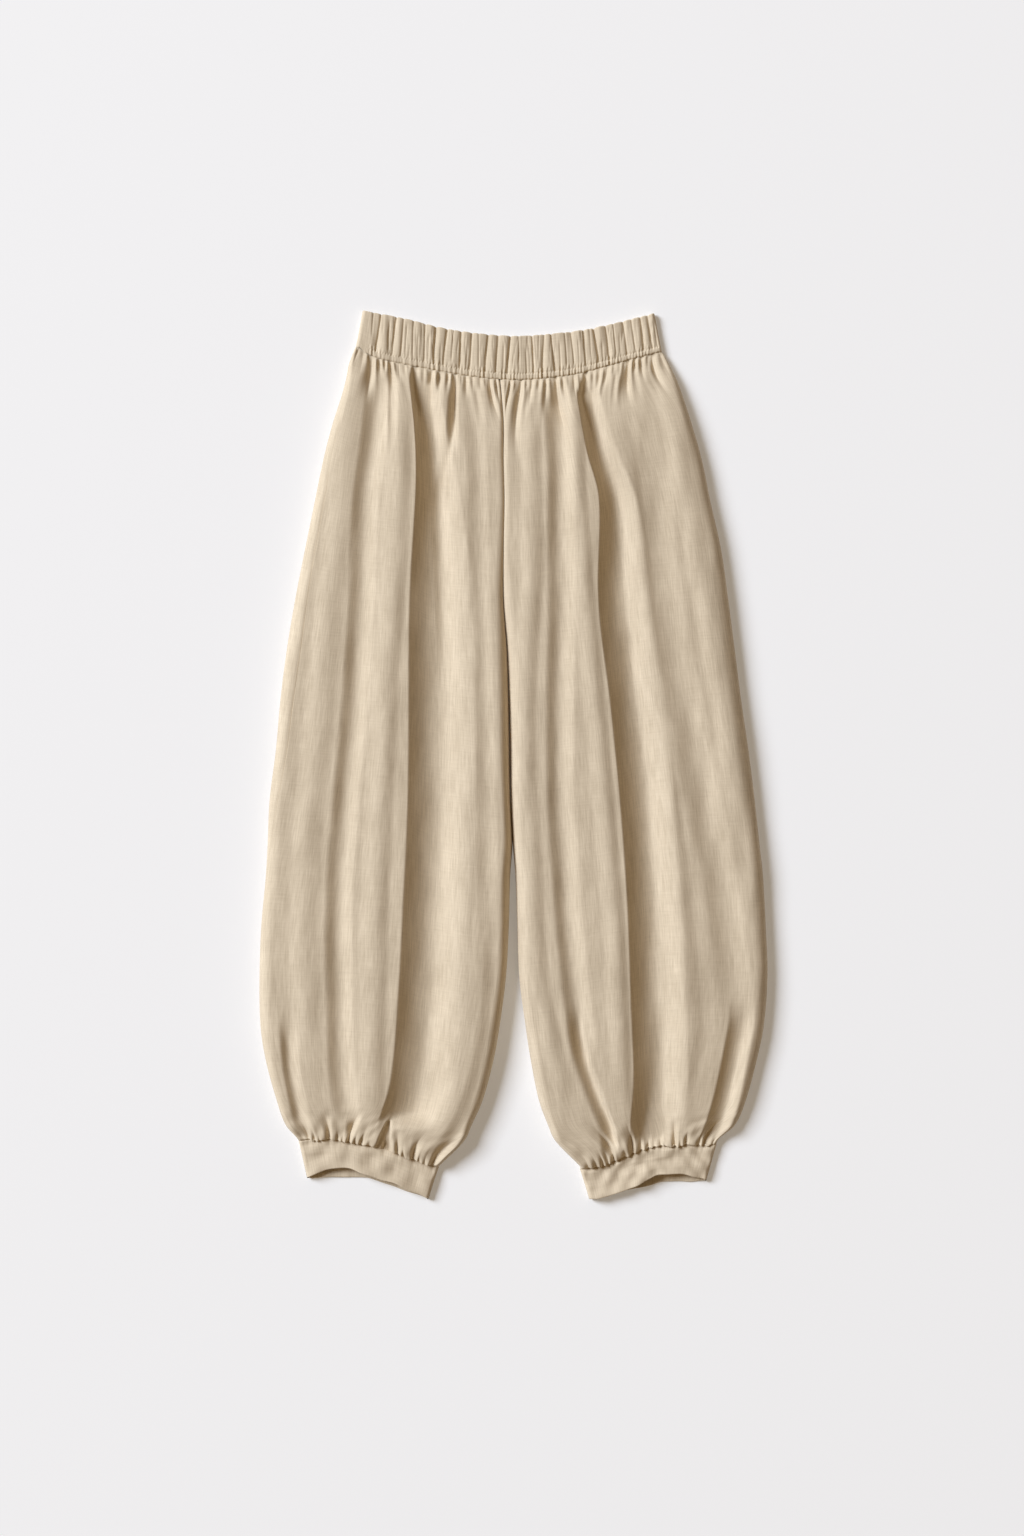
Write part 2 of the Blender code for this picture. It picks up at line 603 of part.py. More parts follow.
def wall_point(point, u, v, depth):
    """The point at a depth behind the outer side, in metres."""
    x, y, z = point(u, v)
    if depth:
        step = 0.0003
        a, b = point(max(u - step, 0), v), point(min(u + step, 1), v)
        c, d = point(u, max(v - step, 0)), point(u, min(v + step, 1))
        ax, ay, az = (b[k] - a[k] for k in range(3))
        bx, by, bz = (d[k] - c[k] for k in range(3))
        normal = [ay * bz - az * by, az * bx - ax * bz, ax * by - ay * bx]
        if point.upright:
            normal[1] = 0.0
        size = math.sqrt(sum(n * n for n in normal)) or 1.0
        x, y, z = (here - depth * n / size * point.facing for here, n in zip((x, y, z), normal))
    return x * MM, y * MM, z * MM


class Outer:
    """A surface function, with facing 1 or -1 for the side its normal points to.

    An upright one has a wall that is square to Y, as a band's is at its ends.
    """

    def __init__(self, function, facing, upright=False):
        self.function = function
        self.facing = facing
        self.upright = upright

    def __call__(self, u, v):
        return self.function(u, v)


def leg_rows(length):
    """Shares of the length for a panel's rows, which its front and its back have in common."""
    rows = [distance / length for distance in UPPER_ROWS]
    last = 1 - LOWER_ROWS[0] / length
    rows += [rows[-1] + (last - rows[-1]) * (k + 1) / (MIDDLE_ROWS + 1) for k in range(MIDDLE_ROWS)]
    return tuple(rows) + tuple(1 - distance / length for distance in LOWER_ROWS)


def build_legs():
    rows = leg_rows(880.0)
    first_lower = len(rows) - len(LOWER_ROWS)
    for leg in ("right", "left"):
        facing = -1 if leg == "right" else 1

        def front_cuts(u, row, leg=leg):
            if row < len(UPPER_ROWS) - 1:
                return 2 if leg == "right" and u > 0.5 else 1
            return 1 if row > first_lower else 0

        def back_cuts(u, row):
            wide = u > BACK_TURN_COLUMNS / BACK_COLUMNS
            return 1 if wide and (row < len(UPPER_ROWS) - 2 or row > first_lower) else 0

        solid_from(
            "front_" + leg, 2 * HALF_COLUMNS, rows, PANEL_WALL,
            Outer(lambda u, v, leg=leg: front_point(leg, u, v), facing), front_cuts,
        )
        solid_from(
            "back_" + leg, BACK_COLUMNS, rows, PANEL_WALL,
            Outer(lambda u, v, leg=leg: back_point(leg, u, v), -facing), back_cuts,
        )


def build_bands():
    gap = SEAM_HALF_GAP
    waist = {
        "minus": (-166, -173), "plus": (155, 163), "upper": WAIST_TOP,
        "lower": tuple((x, y + gap) for x, y in WAIST_SEAM),
        "top": BAND_TOP, "edge": BAND_EDGE, "radius": BAND_EDGE_RADIUS, "arch": 0.0,
        "groove": PLEAT_DEPTH, "pleats": BAND_PLEATS,
    }
    for half, below in (("front", False), ("back", True)):
        shape = dict(waist, below=below, edge=BAND_EDGE + (-gap if below else gap))
        solid_from("waistband_" + half, BAND_COLUMNS if not below else BAND_COLUMNS // 2, (0.0, 0.25, 0.75, 1.0),
                   BAND_WALL, Outer(lambda u, v, shape=shape: strip_point(shape, u, v), 1 if below else -1, True))
    for leg in ("right", "left"):
        outer, deep, inner = HEM_GATHERS[leg]
        grooves = sorted(outer + (deep,) + inner)
        seam = HEM_SEAM[leg]
        for half, below in (("front", False), ("back", True)):
            lower = (CUFF_BACK_EDGE if below else CUFF_FRONT_EDGE)[leg]
            shape = {
                "minus": (seam[0][0], lower[0][0]), "plus": (seam[-1][0], lower[-1][0]),
                "upper": tuple((x, y - gap) for x, y in seam), "lower": lower,
                "top": CUFF_TOP, "arch": CUFF_ARCH - CUFF_TOP, "radius": CUFF_EDGE_RADIUS, "groove": CUFF_GROOVE,
                "pleats": tuple((x, x) for x in grooves), "below": below,
                "edge": CUFF_EDGE + (-gap if below else gap),
            }
            solid_from(f"cuff_{half}_{leg}", CUFF_COLUMNS, (0.0, 0.3, 0.65, 1.0), CUFF_WALL,
                       Outer(lambda u, v, shape=shape: strip_point(shape, u, v), 1 if below else -1, True))


def clear_scene():
    for thing in list(bpy.data.objects):
        bpy.data.objects.remove(thing, do_unlink=True)


clear_scene()
build_legs()
build_bands()
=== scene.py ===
"""Linen balloon trousers laid flat and face up: the cloth, its gathers, stitching and weave.

+X points to the wearer's left, +Y to the waist, +Z up. Left and right are the wearer's own.
The tables are in millimetres and the pieces are made in metres.
"""

import math

import bmesh
import bpy
import numpy as np
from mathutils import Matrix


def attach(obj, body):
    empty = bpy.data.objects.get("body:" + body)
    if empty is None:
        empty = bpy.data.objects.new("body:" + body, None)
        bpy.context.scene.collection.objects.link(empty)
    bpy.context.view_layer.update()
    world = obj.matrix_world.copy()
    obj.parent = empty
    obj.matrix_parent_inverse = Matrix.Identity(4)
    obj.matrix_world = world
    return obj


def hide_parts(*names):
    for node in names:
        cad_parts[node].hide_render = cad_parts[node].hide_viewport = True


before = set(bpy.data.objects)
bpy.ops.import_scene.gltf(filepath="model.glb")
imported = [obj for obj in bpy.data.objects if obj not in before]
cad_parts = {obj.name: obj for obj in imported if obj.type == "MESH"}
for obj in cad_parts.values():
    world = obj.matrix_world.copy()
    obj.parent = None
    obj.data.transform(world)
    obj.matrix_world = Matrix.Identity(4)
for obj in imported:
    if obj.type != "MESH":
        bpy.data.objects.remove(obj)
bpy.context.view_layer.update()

MM = 0.001
SHEET = 0.7
BAND_WALL = 2.8
CUFF_WALL = 1.9

# Half the gap between the front and the back, and how far a leg goes under the waistband, under a cuff and over
# its own side seam
HALF_GAP = 0.05
TUCK = 1.0
HEM_TUCK = 1.2
SIDE_LAP = 0.5

# Columns of the meshes across a piece, and rows down the outer side of a band
FRONT_COLUMNS = 241
BACK_COLUMNS = 131
WAISTBAND_GRID = (701, 53)
CUFF_GRID = (261, 41)

# The whole garment: a row for each level, and the x of each line that runs down it
LEVEL_COLUMNS = (
    "right_side", "right_seam", "right_fold", "right_inner", "left_inner", "left_fold", "left_side",
)
LEVELS = (
    # y, right side, right side seam, right deep fold, right inner, left inner, left deep fold, left side
    (450, -173, -170, -108, -15, -15, 77, 160),
    (429, -181, -178, -107, -15, -15, 77, 171),
    (413, -184, -181, -106, -15, -15, 78, 179),
    (391, -190, -184, -105, -13, -13, 80, 187),
    (363, -199, -190, -104, -11, -11, 84, 196),
    (324, -209, -199, -103, -11, -11, 91, 207),
    (280, -218, -206, -102, -10, -10, 101, 216),
    (226, -229, -216, -102, -11, -11, 105, 228),
    (170, -240, -225, -101, -11, -11, 107, 236),
    (116, -249, -232, -101, -7, -7, 111, 243),
    (61, -256, -240, -101, -5, -5, 117, 250),
    (6, -261, -247, -103, -4, -4, 122, 258),
    (-50, -268, -257, -105, -3, -3, 127, 265),
    (-96, -270, -264, -106, -1, -1, 131, 270),
    (-132, -272, -269, -107, -3.5, 2, 134, 274),
    (-187, -277, -275, -110, -5, 4, 138, 277),
    (-242, -279, -277, -113, -8, 6, 140, 279),
    (-297, -278, -276, -117, -15, 13, 141, 275),
    (-336, -272, -270, -121, -22, 19, 141, 267),
    (-380, -260, -258, -127, -34, 28, 142, 255),
    (-407, -250, -248, -133, -46, 38, 144, 243),
    (-424, -236, -234, -139, -54, 46, 146, 224),
    (-452, -231, -229, -145, -82, 73, 148, 221),
)
CROTCH_Y = -96
WAIST_INNER = -15

# The seam below the waistband and the waistband's upper edge, as (x, y)
WAIST_SEAM = ((-173, 450), (-155, 438), (-119, 429), (-83, 422), (-48, 416), (0, 412), (36, 414), (72, 419),
              (95, 425), (131, 435), (163, 443))
WAIST_TOP = ((-166, 487), (-119, 478), (-83, 469), (-48, 463), (0, 459), (36, 461), (72, 465), (107, 472),
             (131, 478), (155, 484))

# The cuffs' upper seams and lower edges, as (x, y)
HEM_SEAM = {
    "right": ((-236, -424), (-223, -422), (-200, -422), (-183, -424), (-157, -429), (-129, -437), (-98, -448),
              (-82, -453)),
    "left": ((73, -455), (95, -451), (122, -441), (147, -431), (184, -428), (223, -428)),
}
CUFF_FRONT_EDGE = {
    "right": ((-227, -463), (-215, -458), (-202, -454), (-188, -452), (-178, -453), (-166, -458.5),
              (-147, -464.5), (-130, -469.5), (-117, -476), (-93, -486)),
    "left": ((83, -487), (93, -486), (108, -482), (133, -473), (146, -466), (159, -460), (177, -459),
             (190, -460), (212, -466)),
}
CUFF_BACK_EDGE = {
    "right": ((-227, -464), (-215, -464), (-196, -463), (-166, -463.5), (-147, -468), (-129, -474.5),
              (-93, -487)),
    "left": ((83, -487.3), (102, -485), (123, -478), (152, -472), (165, -468), (190, -468), (212, -467)),
}

# Height of a leg's upper side down its length: share of the length, middle, side edge, half height of the edge,
# radius of the edge
PUFF = (
    (0.0000, 6.3, 6.3, 4.0, 3.5),
    (0.0025, 8.0, 7.2, 4.0, 3.7),
    (0.0070, 11.4, 9.0, 4.1, 4.1),
    (0.0140, 13.4, 10.4, 4.2, 4.7),
    (0.0350, 17.6, 13.2, 4.4, 7.0),
    (0.0800, 23.4, 16.8, 5.0, 10.0),
    (0.1600, 27.0, 19.0, 5.5, 13.0),
    (0.3500, 28.0, 20.0, 5.5, 15.0),
    (0.6500, 27.0, 20.0, 5.5, 15.0),
    (0.8500, 26.2, 19.2, 5.5, 14.0),
    (0.9300, 23.8, 17.0, 5.2, 10.0),
    (0.9700, 20.2, 14.6, 4.9, 7.0),
    (0.9850, 17.6, 13.2, 4.7, 5.6),
    (0.9920, 15.4, 12.0, 4.6, 4.8),
    (0.9955, 13.2, 11.0, 4.5, 4.3),
    (0.9975, 10.8, 9.6, 4.5, 3.9),
    (0.9987, 8.6, 8.4, 4.4, 3.6),
    (1.0000, 6.6, 6.4, 4.4, 3.3),
)

# The centre front seam: level, how far it lies below the cloth beside it, radius of that cloth's turn
CENTRE_FRONT = (
    (-96, 22.0, 10.0),
    (60, 18.0, 13.0),
    (170, 9.0, 10.0),
    (215, 5.0, 8.0),
    (400, 4.0, 4.0),
    (450, 2.8, 2.8),
)

# Large folds of the fronts: leg, kind, width of its -X side, width of its +X side, depth (a ridge is negative),
# fade at the upper and lower end, then the path of its deepest line as (y, x). A "left_edge" drops sharply where
# its -X side starts, a "right_edge" climbs sharply where its +X side ends.
FOLDS = (
    ("right", "soft", 17, 16, 6.0, 30, 50,
     ((410, -146), (335, -154), (280, -161), (170, -166), (60, -173), (-50, -183), (-160, -191), (-270, -190),
      (-357, -187), (-395, -182))),
    ("right", "soft", 18, 20, -2.5, 40, 80, ((400, -176), (280, -190), (61, -212), (-116, -228), (-330, -228))),
    ("right", "soft", 20, 16, -3.0, 40, 40, ((390, -124), (215, -130), (61, -140), (-160, -150), (-390, -156))),
    ("right", "left_edge", 34, 42, 17.0, 20, 10,
     ((418, -101), (390, -97), (335, -89), (280, -84), (170, -81), (60, -81), (-50, -82), (-160, -87),
      (-270, -93), (-357, -101), (-401, -114))),
    ("right", "right_edge", 10, 3, 4.5, 10, 40, ((421, -62), (369, -65), (330, -70), (285, -80))),
    ("right", "soft", 12, 16, 2.0, 30, 120, ((360, -90), (215, -78), (60, -70))),
    ("right", "soft", 14, 12, 2.0, 40, 80,
     ((391, -43), (302, -38), (215, -37), (61, -32), (-105, -28), (-200, -28))),
    ("right", "soft", 22, 18, -2.0, 60, 60, ((260, -62), (60, -62), (-150, -60), (-330, -75))),
    ("right", "soft", 18, 16, 3.5, 60, 14,
     ((-190, -14), (-270, -20), (-314, -26), (-363, -38), (-407, -56), (-440, -86))),
    ("right", "soft", 10, 12, 5.0, 25, 25, ((-300, -248), (-352, -243), (-410, -231))),
    ("right", "soft", 5, 8, 3.0, 20, 30, ((415, -133), (350, -134))),
    ("left", "soft", 16, 18, 5.5, 15, 30,
     ((395, 45), (335, 50), (280, 51), (170, 52), (60, 50), (-50, 51), (-160, 58), (-248, 66), (-320, 76))),
    ("left", "soft", 14, 14, -2.5, 40, 60,
     ((380, 18), (215, 20), (38, 12), (-100, 18), (-250, 28), (-350, 50))),
    ("left", "right_edge", 15, 5, 8.0, 30, 12,
     ((-300, 71), (-335, 79), (-357, 86), (-380, 95), (-402, 104), (-426, 110))),
    ("left", "soft", 16, 12, -2.5, 30, 40,
     ((400, 65), (258, 72), (100, 86), (-50, 100), (-200, 112), (-380, 120))),
    ("left", "left_edge", 28, 34, 16.5, 14, 10,
     ((405, 80), (390, 82), (335, 94), (280, 112), (170, 119), (60, 133), (-50, 144), (-160, 152), (-270, 156),
      (-357, 159), (-401, 156), (-426, 156))),
    ("left", "soft", 16, 18, -2.5, 40, 60,
     ((350, 116), (200, 134), (50, 150), (-100, 172), (-300, 190), (-390, 175))),
    ("left", "soft", 24, 22, 4.0, 60, 60,
     ((314, 152), (258, 158), (193, 162), (127, 173), (38, 192), (-72, 213), (-160, 231), (-270, 244))),
    ("left", "left_edge", 16, 14, 8.0, 30, 10, ((-290, 252), (-357, 239), (-401, 227), (-426, 215))),
    ("left", "soft", 16, 18, -2.5, 40, 80, ((391, 170), (314, 184), (226, 200), (100, 222), (-50, 246))),
)
# The triangular recess at the foot of the right leg's deep fold
NOTCH = {"top": -400, "height": 28, "left": -137.5, "spread": 16, "right": -135.5, "depth": 6.0}

# Gathers under the waistband: x at the seam, width of each side, depth and length before their factors
WAIST_DEPTH_FACTOR = 1.5
WAIST_LENGTH_FACTOR = 1.25
WAIST_CREASES = {
    "right": (
        (-168, 3, 4, 1.6, 18), (-164, 4, 4, 1.5, 26), (-156, 6, 5, 4.2, 48), (-147, 4, 4, 1.6, 20),
        (-141, 3, 4, 1.6, 14), (-135, 5, 4, 2.8, 30), (-126, 4, 4, 2.0, 20), (-119, 3, 4, 1.4, 15),
        (-108, 6, 7, 5.5, 60), (-98, 4, 4, 1.6, 18), (-90, 5, 4, 2.6, 32), (-81, 4, 5, 2.4, 24),
        (-72, 5, 4, 1.8, 26), (-63, 6, 2.5, 3.4, 90), (-57, 2, 3, 1.5, 14), (-52, 4, 4, 2.2, 24),
        (-45, 4, 4, 1.8, 20), (-37, 3, 4, 1.8, 16), (-31, 3, 3, 1.4, 12), (-26, 4, 3, 3.2, 42),
        (-19, 3, 3, 2.8, 26),
    ),
    "left": (
        (-4, 2, 3, 2.0, 34), (2, 2, 3, 1.5, 16), (8, 5, 5, 3.4, 80), (14, 3, 3, 1.4, 14),
        (20, 4, 4, 2.6, 32), (28, 3, 3, 1.4, 14), (36, 6, 4, 2.0, 40), (47, 9, 3, 4.6, 70),
        (54, 3, 3, 1.8, 20), (60, 3, 4, 1.6, 16), (66, 4, 4, 2.2, 26), (72, 3, 3, 1.4, 14),
        (80, 7, 4, 5.5, 60), (88, 3, 3, 1.6, 16), (95, 4, 4, 2.4, 26), (103, 4, 4, 2.0, 24),
        (110, 3, 3, 1.4, 14), (117, 3, 3, 1.6, 18), (126, 7, 3, 4.4, 46), (133, 3, 3, 1.6, 16),
        (140, 4, 4, 2.4, 24), (147, 3, 3, 1.6, 16), (152, 5, 4, 3.0, 36), (159, 4, 3, 2.0, 24),
    ),
}

# Gathers above the cuffs, in the same columns
HEM_DEPTH_FACTOR = 1.3
HEM_LENGTH_FACTOR = 1.2
HEM_CREASES = {
    "right": (
        (-229, 3, 3, 1.6, 9), (-225, 3, 4, 3.0, 20), (-218, 3, 3, 2.0, 10), (-213, 2, 3, 1.4, 8),
        (-202, 5, 3, 3.8, 28), (-193, 3, 3, 2.0, 11), (-188, 2, 3, 1.6, 9), (-181, 5, 3, 4.4, 32),
        (-175, 2, 3, 1.8, 9), (-168, 3, 3, 2.2, 13), (-159, 3, 3, 1.6, 8), (-142, 4, 9, 4.4, 16),
        (-127, 4, 3, 3.2, 19), (-121, 2, 3, 1.6, 9), (-110, 4, 4, 3.8, 24), (-104, 2, 3, 1.6, 8),
        (-98, 3, 3, 1.8, 10), (-89, 5, 3, 4.4, 28),
    ),
    "left": (
        (82, 4, 4, 2.2, 12), (91, 4, 4, 2.2, 12), (98.5, 3, 3, 2.4, 16), (104, 3, 3, 2.8, 18),
        (110.5, 6, 3, 4.8, 40), (122.5, 4, 4, 1.8, 10), (131, 5, 3, 4.2, 32), (140, 4, 3, 3.0, 18),
        (148, 4, 4, 3.8, 26), (154.5, 3, 3, 2.0, 12), (162, 3, 3, 2.6, 16), (166, 2, 3, 1.4, 9),
        (177.5, 4, 3, 4.2, 28), (183, 3, 3, 1.8, 11), (189, 3, 3, 2.4, 14), (203, 4, 3, 2.4, 14),
        (208.5, 3, 6, 4.4, 28), (219, 3, 3, 2.2, 12),
    ),
}

# The columns of a leg's mesh follow these lines at its seams, from the side to the deep fold to the inner edge
WAIST_GATHERS = {
    "right": ((-164, -156, -147, -135, -122), -108,
              (-98, -89, -80, -71, -63, -56, -48, -39, -32, -26, -20)),
    "left": ((160, 150, 140, 131, 123, 108, 98), 77, (65, 53, 42, 35, 20, 7, -3)),
}
HEM_GATHERS = {
    "right": ((-225, -216, -205, -193, -184, -175, -165), -145, (-128, -118, -108, -98, -90)),
    "left": ((213, 205, 196, 188, 180, 171, 162), 148, (140, 131, 123, 111, 100, 92, 83)),
}
SEAM_INSET = {"right": 3.0, "left": 0.0}

# Pleats of the elastic casing: x at the upper edge, x at the seam, depth, share of the band where it starts
# and ends
BAND_PLEATS = (
    (-153.5, -156, 0.5, 0.0, 0.5), (-145, -153, 1.0, 0.0, 1.0), (-136, -137, 0.6, 0.1, 0.8),
    (-128, -134, 0.9, 0.0, 1.0), (-120, -125, 0.7, 0.0, 1.0), (-116, -119, 0.5, 0.1, 0.9),
    (-109, -111, 0.6, 0.0, 0.8), (-104, -105, 0.5, 0.3, 1.0), (-96, -98.5, 0.9, 0.0, 1.0),
    (-91, -94, 0.5, 0.2, 1.0), (-85, -87.5, 1.1, 0.0, 1.0), (-79, -80, 0.4, 0.4, 1.0),
    (-73, -77, 1.0, 0.0, 1.0), (-65, -69, 0.6, 0.0, 0.7), (-57, -60, 0.9, 0.0, 1.0),
    (-51, -52.5, 0.5, 0.3, 1.0), (-45, -49, 0.9, 0.0, 1.0), (-38, -38.5, 0.6, 0.0, 0.8),
    (-27, -32, 1.0, 0.0, 1.0), (-17, -19, 0.8, 0.0, 1.0), (-10.5, -10.5, 0.6, 0.2, 1.0),
    (-3, -7, 0.9, 0.0, 1.0), (6, 6, 0.6, 0.0, 0.9), (12.5, 15, 0.6, 0.3, 1.0),
    (20, 23.5, 1.0, 0.0, 1.0), (28, 28, 0.4, 0.0, 0.6), (33.5, 32.5, 0.8, 0.0, 1.0),
    (42, 46.5, 0.9, 0.0, 1.0), (50, 52, 0.6, 0.2, 1.0), (56.5, 59, 0.6, 0.0, 0.8),
    (63, 67.5, 0.9, 0.0, 1.0), (70, 73, 0.5, 0.2, 1.0), (76.5, 81, 0.9, 0.0, 1.0),
    (83, 87, 0.5, 0.0, 0.7), (88, 95, 1.2, 0.0, 1.0), (95, 99.5, 0.5, 0.4, 1.0),
    (101, 106, 1.0, 0.0, 1.0), (109.5, 115, 0.7, 0.0, 0.9), (115, 119, 0.5, 0.3, 1.0),
    (120, 126, 0.9, 0.0, 1.0), (130, 135, 0.7, 0.0, 1.0), (139, 144.5, 0.8, 0.0, 1.0),
    (147, 155, 0.9, 0.0, 1.0), (152, 160, 0.6, 0.2, 1.0),
)
PLEAT_FADE = 0.12

# Where the stitched row is down the casing, and the length of a stitch with the space after it
STITCH_SHARE = 0.86
STITCH_PITCH = 2.9

# Height of a band's upper side, height and radius of its side edges, and the rise of its lower edge
BAND = {"top": 8.2, "edge": 4.1, "radius": 4.0, "arch": 0.0}
CUFF = {"top": 8.8, "edge": 4.4, "radius": 4.0, "arch": 3.7}

# Troughs of the backs, which rise from the flat underside
BACK_FOLDS = (
    # leg, half width, height, y of the upper end, y of the lower end, x at each
    ("right", 9, 1.8, 425, 120, -130, -150),
    ("right", 8, 1.8, 425, 230, -60, -62),
    ("right", 9, 1.8, -60, -430, -190, -170),
    ("right", 8, 1.8, -200, -440, -90, -118),
    ("left", 9, 1.8, 425, 100, 118, 150),
    ("left", 8, 1.8, 425, 210, 50, 58),
    ("left", 9, 1.8, -80, -430, 200, 178),
    ("left", 8, 1.8, -210, -440, 92, 112),
)
BACK_GATHER_HEIGHT = 1.2

# Seeds of the uneven relief
RIPPLE_SEED = {"right": 11, "left": 23}
HOLLOW_SEED = {"right": 12, "left": 24}
CUFF_SEED = {"right": 31, "left": 37}
RIB_SEED = 17
FINE_CREASE_SEED = 29

# Shape helpers


def curve(points, t):
    """A smooth curve through (t, value) points with rising t, level beyond its ends."""
    x, y = (np.array(column, float) for column in zip(*points))
    t = np.clip(t, x[0], x[-1])
    k = np.clip(np.searchsorted(x, t, side="right") - 1, 0, len(x) - 2)
    slope = np.empty(len(x))
    slope[1:-1] = (y[2:] - y[:-2]) / (x[2:] - x[:-2])
    slope[0] = (y[1] - y[0]) / (x[1] - x[0])
    slope[-1] = (y[-1] - y[-2]) / (x[-1] - x[-2])
    step = x[k + 1] - x[k]
    s = (t - x[k]) / step
    return (
        y[k] * (2 * s**3 - 3 * s**2 + 1)
        + y[k + 1] * (3 * s**2 - 2 * s**3)
        + slope[k] * step * (s**3 - 2 * s**2 + s)
        + slope[k + 1] * step * (s**3 - s**2)
    )


def ramp(low, high, value):
    s = np.clip((value - low) / (high - low), 0.0, 1.0)
    return s * s * (3 - 2 * s)


def bump(offset, minus_width, plus_width):
    s = np.abs(offset) / np.where(offset < 0, minus_width, plus_width)
    return np.where(s < 1, (1 - s * s) ** 2, 0.0)


def across(leg):
    return 1 if leg == "right" else -1


LEVEL_LINES = {
    name: tuple(sorted((row[0], row[k + 1]) for row in LEVELS)) for k, name in enumerate(LEVEL_COLUMNS)
}


def puff(share, column):
    return curve(tuple((row[0], row[column]) for row in PUFF), share)


def ripples(x, y, seed, count, short, long, height):
    """Low soft ripples that run along the legs, from a seeded set of waves."""
    rng = np.random.default_rng(seed)
    total = np.zeros_like(x)
    for _ in range(count):
        wave = rng.uniform(short, long)
        lean = rng.uniform(-0.10, 0.10)
        drift = rng.uniform(140, 420)
        phase, turn = rng.uniform(0, 2 * math.pi, 2)
        across_wave = 2 * math.pi * (x + lean * y) / wave + phase + 1.2 * np.sin(2 * math.pi * y / drift + turn)
        total += np.sin(across_wave) * (0.6 + 0.4 * np.sin(2 * math.pi * y / (0.7 * drift) + phase))
    return height * total / math.sqrt(count)


def crinkle(x, seed, short, long, count=6):
    """An uneven wave along a seam, about -1 to 1."""
    rng = np.random.default_rng(seed)
    total = np.zeros_like(x)
    for _ in range(count):
        total += np.sin(2 * math.pi * x / rng.uniform(short, long) + rng.uniform(0, 2 * math.pi))
    return total / math.sqrt(count)


def unevenness(x, y, seed, short, long, count=9):
    """Uneven hollows and swellings in every direction, about -1 to 1."""
    rng = np.random.default_rng(seed)
    total = np.zeros_like(x)
    for _ in range(count):
        turn, wave = rng.uniform(0, math.pi), rng.uniform(short, long)
        along = x * math.cos(turn) + y * math.sin(turn)
        total += np.sin(2 * math.pi * along / wave + rng.uniform(0, 2 * math.pi))
    return total / math.sqrt(count)


def crease(offset, minus_width, plus_width):
    """A groove with a sharp bottom, 1 at its middle."""
    s = np.clip(1 - np.abs(offset) / np.where(offset < 0, minus_width, plus_width), 0, 1)
    return s * s * (2 - s) * 0.5 + 0.5 * s**1.5


def fold_profile(kind, offset, minus_width, plus_width):
    """How far down a fold is at an offset from its deepest line, 0 to 1."""
    if kind == "soft":
        return bump(offset, minus_width, plus_width)
    if kind == "right_edge":
        return fold_profile("left_edge", -offset, plus_width, minus_width)
    t = np.clip(1 + offset / minus_width, 0, 1)
    s = np.clip(offset / plus_width, 0, 1)
    early = t**0.6
    return np.where(offset < 0, early * early * (3 - 2 * early), 1 - s * s * (3 - 2 * s))


# The legs


def leg_section(leg, y, share, seam_distance):
    """The sizes of the sections of a leg at levels y."""
    side = curve(LEVEL_LINES[leg + "_side"], y)
    side = side + across(leg) * TUCK * (1 - ramp(0, 4, seam_distance))
    inner = curve(LEVEL_LINES[leg + "_inner"], y) - across(leg) * HALF_GAP
    below = 1 - ramp(CROTCH_Y, CROTCH_Y + 45, y)
    radius, edge, middle = puff(share, 4), puff(share, 3), puff(share, 1)
    drop = curve(tuple((row[0], row[1]) for row in CENTRE_FRONT), y)
    turn = curve(tuple((row[0], row[2]) for row in CENTRE_FRONT), y)
    centre_height = np.maximum(middle - drop, 3.6)
    return {
        "side": side,
        "width": np.abs(inner - side),
        "share": share,
        "radius": radius,
        "edge": edge,
        "inner_edge": centre_height + (edge - centre_height) * below,
        "inner_radius": turn + (np.minimum(radius, 11.0) - turn) * below,
        "back_inner_edge": edge * below,
    }


def quarter(radius, height):
    return 0.8 * (radius + height)


def gather_wave(grooves, x):
    """0 between two grooves and 1 in a groove, at x along a seam."""
    grooves = sorted(grooves)
    best = np.zeros_like(x)
    for k, groove in enumerate(grooves):
        before = groove - grooves[k - 1] if k else 10.0
        after = grooves[k + 1] - groove if k + 1 < len(grooves) else 10.0
        best = np.maximum(best, bump(x - groove, 0.5 * before, 0.5 * after))
    return best


def all_grooves(table, leg):
    outer, deep, inner = table[leg]
    return outer + (deep,) + inner


def gathers(table, leg, x_seam, distance, stretch):
    """Depth of the gathers at a distance from their seam."""
    depth = np.zeros_like(x_seam)
    for x, minus_width, plus_width, deep, length in table[leg]:
        length = length * stretch
        near = distance < length
        rise = 0.2 + 0.8 * ramp(0, 5, distance)
        fade = 1 - ramp(0.3 * length, length, distance)
        spread = 1 + 0.5 * distance / length
        depth = depth + np.where(near, deep * rise * fade, 0) * crease(
            x_seam - x, minus_width * spread, plus_width * spread)
    return depth


def notch_depth(x, y):
    down = np.clip((NOTCH["top"] - y) / NOTCH["height"], 0, 1)
    left = NOTCH["left"] - NOTCH["spread"] * down
    inside = ramp(left - 1.4, left + 1.4, x) * (1 - ramp(NOTCH["right"] - 1, NOTCH["right"] + 1.6, x))
    return NOTCH["depth"] * inside * ramp(0.0, 0.12, down)


